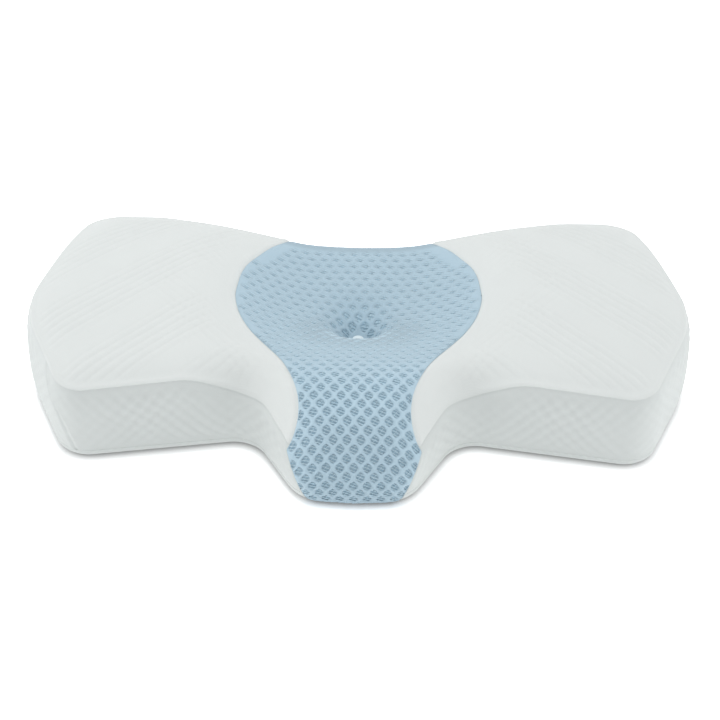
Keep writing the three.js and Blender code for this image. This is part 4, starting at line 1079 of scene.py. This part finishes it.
def tube(path, radius, sides):
    """Closed tube along paths: circles square to each path's run, with a fan at both ends.

    Paths have the shape (count, points, 3). Each circle lies in the plane of two directions square
    to the central difference of its path.
    """
    count, rows = path.shape[:2]
    way = np.gradient(path, axis=1)
    way /= np.linalg.norm(way, axis=-1, keepdims=True)
    up = np.broadcast_to(np.array([0.13, 0.31, 0.94]), way.shape)
    side = np.cross(way, up)
    side /= np.linalg.norm(side, axis=-1, keepdims=True)
    up = np.cross(side, way)
    turn = np.arange(sides) * 2 * math.pi / sides
    ring = side[:, :, None] * np.cos(turn)[:, None] + up[:, :, None] * np.sin(turn)[:, None]
    points = path[:, :, None] + ring * np.broadcast_to(radius, (rows,))[None, :, None, None]
    each = rows * sides
    base = (np.arange(count) * each)[:, None, None]
    body = grid_faces(rows, sides, wrap_columns=True)
    caps = np.stack([np.arange(sides)[::-1], np.arange(sides) + each - sides])
    faces = [(body + base).reshape(-1, 4), (caps + base).reshape(-1, sides)]
    return points.reshape(-1, 3), faces, np.zeros((count * each, 2))


def coil_shell(up, sizes):
    """Half of the zip's coil: one hooked turn after another along the arc."""
    pitch = 1000 * sizes.coil_pitch
    reach = SLOT_REACH - 2 * STOP - 0.6
    along = np.arange(-reach, reach, pitch) + (pitch / 2 if up > 0 else 0)
    along = along[along < reach]
    shares, depths, away = COIL_TURN.T
    path = arc_point(along[:, None] + shares * pitch, depths, ZIP_Z + up * away)
    return tube(path, COIL_RADIUS, 6)


def stitch_shell(sizes):
    """Topstitching round the zip's opening: short rounded stitches a little way from the edge."""
    pitch = 1000 * sizes.stitch_pitch
    reach = SLOT_REACH - SLOT_END - 2
    along = np.arange(-reach, reach, pitch)
    paths = []
    for up in (-1, 1):
        z = ZIP_Z + up * (SLOT_HALF + STITCH_AWAY)
        place = along[:, None] + STITCH_STEPS * pitch
        run = whole_run() - np.abs(place)
        wall = wall_at(run, wall_share(run, np.full_like(run, z)), np.where(place < 0, -1, 1))
        wall[..., 1] += STITCH_HEIGHTS
        paths.append(wall)
    return tube(np.concatenate(paths), STITCH_RADII, 6)


def button_shell():
    """Covered tuft button: a dome of rings whose height falls off from the middle, lightly pleated."""
    low, high = lowest_and_highest("tuft_button")
    count, radius = BUTTON_POINTS, BUTTON_RADIUS
    base, rise = 1000 * low[2], 520 * (high[2] - low[2])
    angle = np.arange(count) * 2 * math.pi / count
    turn = np.linspace(0, math.pi / 2, 14)
    wide, tall = np.sin(turn) ** 0.9, np.cos(turn) ** 0.85
    under = np.array([[1.0, 0.0], [0.97, -0.08], [0.8, -0.1], [0.1, -0.1]])
    rows = [(w, t) for w, t in zip(wide[1:], tall[1:])] + [tuple(row) for row in under[1:]]
    rings = []
    for share, level in rows:
        pleat = 1 + PLEAT_DEPTH * share * np.cos(BUTTON_PLEATS * angle)
        z = base + 0.35 + (rise - 0.35) * max(level, 0) + 3 * min(level, 0)
        rings.append(np.stack([radius * share * pleat * np.cos(angle),
                               TUFT_Y + radius * share * pleat * np.sin(angle), np.full(count, z)], -1))
    grid = np.stack(rings)
    points = np.concatenate([grid.reshape(-1, 3), [[0, TUFT_Y, base + rise], [0, TUFT_Y, base + 0.05]]])
    last = len(rings) * count
    ring = np.arange(count)
    top = np.stack([ring, np.roll(ring, -1), np.full(count, last)], 1)
    foot = np.stack([np.roll(ring, -1), ring, np.full(count, last + 1)], 1)
    foot[:, :2] += last - count
    faces = [grid_faces(len(rings), count, wrap_columns=True), top[:, ::-1], foot[:, ::-1]]
    return points, faces, points[:, :2] - [0, TUFT_Y]


# ---------------------------------------------------------------- finishes

class Wire:
    """A node socket in plain arithmetic: each operation on it adds a Math node."""

    def __init__(self, tree, socket):
        self.tree, self.socket = tree, socket

    def maths(self, operation, *values):
        """Adds a Math node with these values and gives its result."""
        return add_node(self.tree, "ShaderNodeMath", {"operation": operation}, dict(enumerate(values)))

    def __add__(self, other):
        return self.maths("ADD", self, other)

    def __sub__(self, other):
        return self.maths("SUBTRACT", self, other)

    def __mul__(self, other):
        return self.maths("MULTIPLY", self, other)

    def __truediv__(self, other):
        return self.maths("DIVIDE", self, other)

    def __pow__(self, other):
        return self.maths("POWER", self, other)

    def __radd__(self, other):
        return self.maths("ADD", other, self)

    def __rsub__(self, other):
        return self.maths("SUBTRACT", other, self)

    def __rmul__(self, other):
        return self.maths("MULTIPLY", other, self)

    def fraction(self):
        return self.maths("FRACT", self)

    def sine(self):
        return self.maths("SINE", self)

    def size(self):
        return self.maths("ABSOLUTE", self)


def add_node(tree, kind, settings, sockets, output=0):
    """Adds a node: its settings first, then its sockets' values or links; gives one output."""
    node = tree.nodes.new(kind)
    for key, value in settings.items():
        setattr(node, key, value)
    for key, value in sockets.items():
        connect(tree, value, node.inputs[key])
    return Wire(tree, node.outputs[output])


def connect(tree, value, place):
    """Puts a number or colour into a socket, or links another socket to it."""
    if isinstance(value, Wire):
        tree.links.new(value.socket, place)
    elif hasattr(value, "__len__") and place.type == "RGBA" and len(value) == 3:
        place.default_value = (*value, 1)
    else:
        place.default_value = value


class Finish:
    """A material under construction: a Principled shader and the nodes that feed it."""

    def __init__(self, name, **constants):
        self.material = bpy.data.materials.new(name)
        self.material.use_nodes = True
        self.tree = self.material.node_tree
        self.shader = self.tree.nodes["Principled BSDF"]
        self.feed({key.replace("_", " "): value for key, value in constants.items()})

    def feed(self, values):
        """Sets or links sockets of the shader by name."""
        for key, value in values.items():
            connect(self.tree, value, self.shader.inputs[key])

    def node(self, kind, settings, sockets, output=0):
        """Adds a node to the material; gives one output."""
        return add_node(self.tree, kind, settings, sockets, output)

    def cloth(self):
        """Place on the cloth in millimetres, across and along."""
        place = self.node("ShaderNodeUVMap", {"uv_map": "Cloth"}, {})
        return [self.node("ShaderNodeSeparateXYZ", {}, {0: place}, axis) * 1000 for axis in range(2)]

    def noise(self, scale, detail=3.0):
        """Noise between 0 and 1 on Object coordinates, with a number of grains to the metre."""
        place = self.node("ShaderNodeTexCoord", {}, {}, "Object")
        return self.node("ShaderNodeTexNoise", {}, {"Vector": place, "Scale": scale, "Detail": detail})

    def ramp(self, value, low, high):
        """Eases from 0 to 1 between two limits."""
        return self.node("ShaderNodeMapRange", {"interpolation_type": "SMOOTHSTEP"},
                         {"Value": value, "From Min": low, "From Max": high})

    def blend(self, share, first, second):
        """A colour between two others."""
        return self.node("ShaderNodeMix", {"data_type": "RGBA", "clamp_factor": True},
                         {0: share, 6: first, 7: second}, 2)

    def bump(self, height, distance, strength=1.0):
        """Links a height in shares of a distance in metres to the shader's normal."""
        self.feed({"Normal": self.node("ShaderNodeBump", {}, {
            "Height": height, "Distance": distance, "Strength": strength})})


def shade(colour, factor):
    """A colour made darker or lighter by one factor."""
    return tuple(min(1.0, part * factor) for part in colour)


def knit_height(across, along, wale, course):
    """Height of a jersey knit: loops lean to both sides of each wale, and fall off at its edges."""
    place = (across / wale).fraction()
    lean = (place * 2 - 1).size() * 0.45
    loop = ((along / course + lean).fraction() * math.pi).sine()
    return loop * (place * math.pi).sine() ** 0.5


def knit_finish(name, colour, wale, course, relief, roughness, bowl_lit_colour=None, quilted=0):
    """Knitted cloth: loops in relief, with painted shade between them, and a faint cloudiness.

    With a lit colour for the bowl, the cloth takes that painted light behind the neck roll, and only part
    of it round the tuft.
    Quilted cloth gets painted shade by a share of the shade stored on its points: in the valleys between
    ribs or webs, and on the net also in the bowl, before the tuft, along the back hem and at the nose's
    foot.
    """
    finish = Finish(name, Roughness=roughness, Sheen_Weight=0.25, Sheen_Roughness=0.6)
    across, along = finish.cloth()
    # Painted light: behind the neck roll the cloth turns to a lighter colour than its own, only partly
    # round the tuft
    if bowl_lit_colour:
        away = (across * across + along * along) ** 0.5
        share = finish.ramp(along, -165, -100) * (finish.ramp(away, 12, 34) * 0.65 + 0.35)
        deep = finish.blend(share, colour, bowl_lit_colour)
    height = knit_height(across, along, wale, course)
    cloud = finish.noise(26.0)
    tint = finish.blend(cloud, shade(colour, 0.965), shade(colour, 1.02))
    # Painted shade between the loops: the knit is darker where its loops fall off
    knit = finish.blend(height * 0.8 + 0.2, shade(colour, 0.9), tint)
    if bowl_lit_colour:
        knit = finish.blend(height * 0.25, deep, knit)
    # Painted shade: the cloth darkens towards a darker copy of its colour by the quilted share times the
    # stored shade of its points
    if quilted:
        valley = finish.node("ShaderNodeAttribute", {"attribute_name": "PaintedShade"}, {}, "Fac")
        knit = finish.blend(valley * quilted, knit, shade(colour, 0.6))
    finish.feed({"Base Color": knit, "Roughness": roughness - 0.08 + cloud * 0.16})
    finish.bump(height, relief)
    return finish.material


def foam_finish(name, colour):
    """Moulded foam: fine cells in relief and a soft unevenness of colour."""
    finish = Finish(name, Roughness=0.9, Sheen_Weight=0.1)
    cells = finish.noise(900.0, 2.0)
    finish.feed({"Base Color": finish.blend(finish.noise(30.0), shade(colour, 0.94), colour),
                 "Roughness": 0.82 + cells * 0.14})
    finish.bump(cells, 0.0003)
    return finish.material


def weave_finish(name, colour, pitch, relief):
    """Plain weave on the cloth's own place: over-and-under threads as a product of two waves."""
    finish = Finish(name, Roughness=0.8, Sheen_Weight=0.15)
    across, along = finish.cloth()
    warp = (across * (math.pi / pitch)).sine() * (along * (math.pi / pitch)).sine()
    height = warp * 0.5 + 0.5
    # Painted shade between the threads: darker where they dip under
    finish.feed({"Base Color": finish.blend(height, shade(colour, 0.86), colour),
                 "Roughness": 0.86 - height * 0.14})
    finish.bump(height, relief)
    return finish.material


def moulded_finish(name, colour, roughness, metallic=0.0):
    """Moulded or plated piece: faint mottling, with handling marks that are a little duller."""
    finish = Finish(name, Metallic=metallic, Coat_Roughness=0.2)
    marks, grain = finish.noise(160.0), finish.noise(2600.0, 2.0)
    finish.feed({"Base Color": finish.blend(marks, shade(colour, 0.95), colour),
                 "Roughness": roughness - 0.06 + marks * 0.14})
    finish.bump(grain, 0.00003)
    return finish.material


# ---------------------------------------------------------------- what a user would change

def linear(red, green, blue):
    """Linear colour from the usual screen values of 0 to 255."""
    return tuple((v / 255 / 12.92) if v <= 10 else ((v / 255 + 0.055) / 1.055) ** 2.4
                 for v in (red, green, blue))


def length(name, description, default):
    return bpy.props.FloatProperty(name=name, description=description, default=default, min=0.0,
                                   precision=5, unit="LENGTH")


def colour(name, description, default):
    return bpy.props.FloatVectorProperty(name=name, description=description, default=default, size=3,
                                         min=0.0, max=1.0, subtype="COLOR")


def number(name, description, default):
    return bpy.props.FloatProperty(name=name, description=description, default=default, min=0.0,
                                   subtype="FACTOR")


class PillowSizes(bpy.types.PropertyGroup):
    """Sizes of the cloth's relief, the net and the zip's small parts."""

    cover_step: length("Cover step", "Distance between the cover panel's points", 0.0014)
    rib_pitch: length("Rib pitch", "Distance from one quilted rib to the next", 0.0082)
    rib_height: length("Rib height", "Height of the ribs on the wings", 0.0007)
    band_period: length("Band period", "Distance from one band of ribs to the next", 0.074)
    band_width: length("Band width", "Width of a band of ribs", 0.052)
    diamond_pitch: length("Diamond pitch", "Width of a quilted diamond on the walls", 0.0136)
    diamond_height: length("Diamond height", "Height of the diamonds on the walls", 0.00042)
    seam_depth: length("Seam depth", "How far the cloth rolls in at a seam", 0.0011)
    hole_pitch_across: length("Hole pitch across", "Distance between holes in a row", 0.0122)
    hole_pitch_along: length("Hole pitch along", "Distance between holes in a column", 0.0169)
    hole_width: length("Hole width", "Width of a hole of the net", 0.0068)
    hole_length: length("Hole length", "Length of a hole of the net", 0.0081)
    thread_radius: length("Thread radius", "Radius of the threads in the holes", 0.00056)
    coil_pitch: length("Coil pitch", "Distance between two turns of the zip's coil", 0.0015)
    stitch_pitch: length("Stitch pitch", "Distance between two stitches", 0.0032)


class PillowColours(bpy.types.PropertyGroup):
    """Colours of the pillow's materials, and the stage's light."""

    knit: colour("Knit", "White quilted knit of the wings", linear(229, 233, 231))
    # Painted shade: the wings' knit made a little darker for the walls and the underside
    shaded_wall_knit: colour("Wall knit", "Knit of the walls and the underside", linear(223, 228, 226))
    net: colour("Net", "Light blue net", linear(189, 216, 231))
    lining: colour("Lining", "Darker blue cloth under the net", linear(174, 203, 218))
    # Painted light: the lining's own colour made lighter where it is seen through the bowl's shallow holes
    lining_lit_in_bowl: colour("Lining in the bowl", "The same cloth where the net lies close on it",
                        linear(205, 231, 243))
    # Painted light: the threads are lighter than the net's yarn so that they stay bright in the shaded
    # holes
    thread: colour("Thread", "Threads in the holes of the net", linear(204, 229, 242))
    liner: colour("Liner", "Inner cover on the foam", linear(238, 238, 234))
    foam: colour("Foam", "Moulded foam", linear(240, 233, 210))
    tape: colour("Tape", "Woven tape of the zip", linear(226, 228, 227))
    coil: colour("Coil", "Coil of the zip", linear(232, 234, 234))
    metal: colour("Metal", "Nickel-plated slider, pull and stops", linear(170, 174, 178))
    button: colour("Button", "Covered button of the tuft", linear(236, 249, 254))
    key_light: number("Key light", "Strength of the lamp over the pillow", 1.0)
    fill_light: number("Fill light", "Strength of the light from all round", 1.0)


def cad_material(nodes, material):
    """Gives CAD nodes a material in their own slots."""
    for name in nodes:
        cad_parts[name].material_slots[0].material = material


# ---------------------------------------------------------------- operators

class MakeFoam(bpy.types.Operator):
    """Makes the foam core and the two halves of its liner"""

    bl_idname = "pillow.foam"
    bl_label = "Foam and liner"

    def execute(self, context):
        colours = context.scene.pillow_colours
        foam = put_piece("foam_body", [foam_shell()], foam_finish("moulded_foam", colours.foam),
                         ["foam_core"])
        cloth = knit_finish("liner_knit", colours.liner, 0.8, 0.7, 0.00008, 0.85)
        upper, lower = liner_shells()
        put_sheet("liner_top", upper, cloth, "liner_upper", (700, 440))
        put_sheet("liner_base", lower, cloth, "liner_lower", (690, 420))
        return {"FINISHED"}


class MakeCover(bpy.types.Operator):
    """Makes the two quilted panels over the wings"""

    bl_idname = "pillow.cover"
    bl_label = "Wing panels"

    def execute(self, context):
        sizes, colours = context.scene.pillow_sizes, context.scene.pillow_colours
        knit = knit_finish("quilted_knit", colours.knit, 1.1, 0.85, 0.00012, 0.72, quilted=0.16)
        shell = cover_panel(sizes)
        for side, left in (("right", False), ("left", True)):
            put_sheet("wing_" + side, shell, knit, f"cover_{side}_panel", (285, 335), left)
        return {"FINISHED"}


class MakeWalls(bpy.types.Operator):
    """Makes the quilted side walls and the back wall above and below the zip"""

    bl_idname = "pillow.walls"
    bl_label = "Walls"

    def execute(self, context):
        sizes, colours = context.scene.pillow_sizes, context.scene.pillow_colours
        knit = knit_finish("shaded_wall_knit", colours.shaded_wall_knit, 1.1, 0.85, 0.00012, 0.75, quilted=0.15)
        for side, left in (("right", False), ("left", True)):
            shell = side_gusset(sizes, left)
            put_sheet("wall_" + side, shell, knit, side + "_gusset", (700, 90), left)
        for name, up, cut in (("upper", 1, (345, 58)), ("lower", -1, (345, 21))):
            shell = back_gusset(sizes, up)
            put_sheet("back_" + name, shell, knit, "back_gusset_" + name, cut)
        return {"FINISHED"}


class MakeUnderside(bpy.types.Operator):
    """Makes the flat underside with its rounded edge"""

    bl_idname = "pillow.underside"
    bl_label = "Underside"

    def execute(self, context):
        sizes, colours = context.scene.pillow_sizes, context.scene.pillow_colours
        knit = knit_finish("underside_knit", colours.shaded_wall_knit, 1.4, 1.1, 0.00014, 0.8)
        put_sheet("underside", underside_shell(sizes), knit, "bottom_panel", (640, 360))
        return {"FINISHED"}


class MakeNet(bpy.types.Operator):
    """Makes the net, its lining and the threads in its holes"""

    bl_idname = "pillow.net"
    bl_label = "Net and lining"

    def execute(self, context):
        sizes, colours = context.scene.pillow_sizes, context.scene.pillow_colours
        cut = (232, 390)
        # The lining is given a lighter colour in the bowl: painted light
        lining = knit_finish("lining_knit", colours.lining, 0.9, 0.8, 0.00012, 0.9, colours.lining_lit_in_bowl)
        put_sheet("net_lining", lining_shell(), lining, "mesh_lining", cut)
        knit = knit_finish("net_knit", colours.net, 0.9, 0.75, 0.00014, 0.75, quilted=0.18)
        put_sheet("net", net_shell(sizes), knit, "mesh_panel", cut, sharp=75)
        thread = knit_finish("spacer_thread", colours.thread, 0.5, 0.5, 0.00004, 0.6)
        put_piece("net_threads", thread_shells(sizes), thread, sharp=180)
        return {"FINISHED"}


class MakeZip(bpy.types.Operator):
    """Makes the zip's tapes, coils and topstitching, and finishes its metal parts"""

    bl_idname = "pillow.zip"
    bl_label = "Zip"

    def execute(self, context):
        sizes, colours = context.scene.pillow_sizes, context.scene.pillow_colours
        tape = weave_finish("zip_weave", colours.tape, 0.6, 0.00008)
        coil = moulded_finish("coil_plastic", colours.coil, 0.35)
        for name, up in (("upper", 1), ("lower", -1)):
            piece = put_piece("tape_" + name, [tape_shell(up)[:3]], tape, ["zip_tape_" + name])
            put_piece("coil_" + name, [coil_shell(up, sizes)], coil, ["zip_coil_" + name])
        thread = weave_finish("stitch_thread", colours.knit, 0.3, 0.00003)
        put_piece("zip_topstitch", [stitch_shell(sizes)], thread)
        stops = ["zip_top_stop_upper", "zip_top_stop_lower", "zip_bottom_stop"]
        cad_material(["zip_slider", "zip_pull", *stops],
                     moulded_finish("zip_nickel", colours.metal, 0.3, 0.9))
        return {"FINISHED"}


class MakeTuft(bpy.types.Operator):
    """Makes the tuft's covered button, and finishes its tie and anchor"""

    bl_idname = "pillow.tuft"
    bl_label = "Tuft"

    def execute(self, context):
        colours = context.scene.pillow_colours
        knit = knit_finish("button_knit", colours.button, 0.7, 0.6, 0.00006, 0.6)
        put_piece("tuft_cap", [button_shell()], knit, ["tuft_button"])
        cad_material(["tuft_tie"], weave_finish("tie_thread", colours.tape, 0.4, 0.00005))
        cad_material(["tuft_anchor"], moulded_finish("anchor_plastic", colours.coil, 0.4))
        return {"FINISHED"}


# ---------------------------------------------------------------- stage

# The floor: half its side and its height in metres, its greys and its glow's strength for the rays
# that see it and for all others, and how far the shadow at a piece's foot reaches
FLOOR_HALF, FLOOR_Z = 6.0, -0.0003
SEEN_GREY, SEEN_GLOW = 0.82, 0.15
LIT_GREY, LIT_GLOW = 0.86, 0.25
SHADOW_REACH = 0.009

# The world's colour and strength where it lights the pillow, and where it is seen
SKY, SKY_POWER = (0.97, 0.985, 1.0), 0.62
SEEN_SKY, SEEN_SKY_POWER = (1.0, 1.0, 1.0), 1.0

# Lamps: name, place, side in metres and power in watts; all are turned to one place
LAMP_TARGET = (0, 0, 0.05)
LAMPS = [("key", (-0.3, 0.6, 1.85), 0.9, 13), ("front", (0.4, -1.9, 0.9), 1.2, 3.5),
         ("side", (-2.1, -0.1, 0.55), 0.9, 9), ("side", (2.1, -0.1, 0.55), 0.9, 9)]

# The photograph's camera: degrees up, round and rolled, metres from its target, millimetres of lens
# and sensor, and the picture's shift in shares of its width
CAMERA_UP, CAMERA_TURN, CAMERA_ROLL = 39.75, 1.02, 0.35
CAMERA_TARGET, CAMERA_AWAY = (0, -DRAWING_Y / 1000, 0.04), 1.435
CAMERA_LENS, CAMERA_SENSOR = 75.0, 36.0
CAMERA_SHIFT = (2.75 / 720, 0.63 / 720)


def grey(value):
    return (value, value, value)


def choose_by_ray(tree, end, lit, seen):
    """Ends a tree: one shader for camera, glossy and transmission rays, the other for the rest."""
    path = tree.nodes.new("ShaderNodeLightPath")
    camera, glossy, through = (Wire(tree, path.outputs[f"Is {kind} Ray"])
                               for kind in ("Camera", "Glossy", "Transmission"))
    choice = add_node(tree, "ShaderNodeMixShader", {}, {0: camera + glossy + through, 1: lit, 2: seen})
    connect(tree, choice, tree.nodes.new(end).inputs[0])


def paint_floor(floor):
    """Pale floor that looks plain white but for a tight shadow at the pillow's foot.

    Where it is seen it has two diffuse layers, which darken near other pieces, and a glow. For all
    other rays it is one plain layer with a glow.
    """
    material = bpy.data.materials.new("floor_paint")
    material.use_nodes = True
    tree = material.node_tree
    tree.nodes.clear()

    def add(kind, *sockets):
        return add_node(tree, kind, {}, dict(enumerate(sockets)))

    near = add_node(tree, "ShaderNodeAmbientOcclusion", {}, {"Color": grey(SEEN_GREY),
                                                             "Distance": SHADOW_REACH})
    first, second, plain = (add("ShaderNodeBsdfDiffuse", tint) for tint in (near, near, grey(LIT_GREY)))
    seen_glow, lit_glow = (add_node(tree, "ShaderNodeEmission", {}, {"Strength": power})
                           for power in (SEEN_GLOW, LIT_GLOW))
    pair = add("ShaderNodeAddShader", first, second)
    choose_by_ray(tree, "ShaderNodeOutputMaterial", add("ShaderNodeAddShader", plain, lit_glow),
                  add("ShaderNodeAddShader", pair, seen_glow))
    floor.data.materials.append(material)


def paint_world(world, strength):
    """World: even soft light, plain white where it is seen."""
    world.use_nodes = True
    tree = world.node_tree
    tree.nodes.clear()
    soft, plain = (add_node(tree, "ShaderNodeBackground", {}, {"Color": tint, "Strength": power})
                   for tint, power in ((SKY, strength), (SEEN_SKY, SEEN_SKY_POWER)))
    choose_by_ray(tree, "ShaderNodeOutputWorld", soft, plain)


def add_lamp(name, place, size, power):
    """Square soft lamp at a place, turned to the lamps' target."""
    lamp = bpy.data.lights.new(name, "AREA")
    lamp.size, lamp.energy = size, power
    thing = bpy.data.objects.new(name, lamp)
    thing.location = place
    thing.rotation_euler = (Vector(LAMP_TARGET) - Vector(place)).to_track_quat("-Z", "Y").to_euler()
    bpy.context.scene.collection.objects.link(thing)


def add_camera():
    """Camera at the photograph's place."""
    up, turn, roll = (math.radians(angle) for angle in (CAMERA_UP, CAMERA_TURN, CAMERA_ROLL))
    back = Vector((math.sin(turn) * math.cos(up), -math.cos(turn) * math.cos(up), math.sin(up)))
    right = (-back).cross(Vector((0, 0, 1))).normalized()
    upright = right.cross(-back)
    right, upright = (right * math.cos(roll) + upright * math.sin(roll),
                      upright * math.cos(roll) - right * math.sin(roll))
    camera = bpy.data.cameras.new("camera")
    camera.lens, camera.sensor_width = CAMERA_LENS, CAMERA_SENSOR
    camera.shift_x, camera.shift_y = CAMERA_SHIFT
    thing = bpy.data.objects.new("camera", camera)
    turned = Matrix((right, upright, back)).transposed().to_4x4()
    thing.matrix_world = Matrix.Translation(Vector(CAMERA_TARGET) + back * CAMERA_AWAY) @ turned
    bpy.context.scene.collection.objects.link(thing)
    bpy.context.scene.camera = thing


class MakeStage(bpy.types.Operator):
    """Makes the floor, the lamps, the world and the camera"""

    bl_idname = "pillow.stage"
    bl_label = "Stage"

    def execute(self, context):
        light = context.scene.pillow_colours
        mesh = bpy.data.meshes.new("floor")
        corners = [(x * FLOOR_HALF, y * FLOOR_HALF, FLOOR_Z)
                   for x, y in ((-1, -1), (1, -1), (1, 1), (-1, 1))]
        mesh.from_pydata(corners, [], [(0, 1, 2, 3)])
        floor = bpy.data.objects.new("floor", mesh)
        context.scene.collection.objects.link(floor)
        paint_floor(floor)
        world = bpy.data.worlds.new("soft_light")
        paint_world(world, SKY_POWER * light.fill_light)
        context.scene.world = world
        for name, place, size, power in LAMPS:
            add_lamp(name, place, size, power * light.key_light)
        add_camera()
        context.scene.view_settings.view_transform = "Standard"
        return {"FINISHED"}


OPERATORS = (MakeStage, MakeFoam, MakeCover, MakeWalls, MakeUnderside, MakeNet, MakeZip, MakeTuft)


class PillowPanel(bpy.types.Panel):
    """Lists the pillow's pieces and sizes in the sidebar"""

    bl_idname = "VIEW3D_PT_pillow"
    bl_label = "Pillow"
    bl_space_type = "VIEW_3D"
    bl_region_type = "UI"
    bl_category = "Pillow"

    def draw(self, context):
        for kind in OPERATORS:
            self.layout.operator(kind.bl_idname)
        for group in (context.scene.pillow_sizes, context.scene.pillow_colours):
            for name in group.bl_rna.properties.keys():
                if name not in ("rna_type", "name"):
                    self.layout.prop(group, name)


CLASSES = (PillowSizes, PillowColours, *OPERATORS, PillowPanel)


def register():
    """Registers the classes and puts the two groups of settings on the scene."""
    for kind in CLASSES:
        bpy.utils.register_class(kind)
    bpy.types.Scene.pillow_sizes = bpy.props.PointerProperty(type=PillowSizes)
    bpy.types.Scene.pillow_colours = bpy.props.PointerProperty(type=PillowColours)


def unregister():
    """Takes the settings and the classes away again."""
    del bpy.types.Scene.pillow_colours
    del bpy.types.Scene.pillow_sizes
    for kind in reversed(CLASSES):
        bpy.utils.unregister_class(kind)


def main():
    """Makes every piece in order."""
    register()
    for kind in OPERATORS:
        group, name = kind.bl_idname.split(".")
        getattr(getattr(bpy.ops, group), name)()


if __name__ == "__main__":
    main()
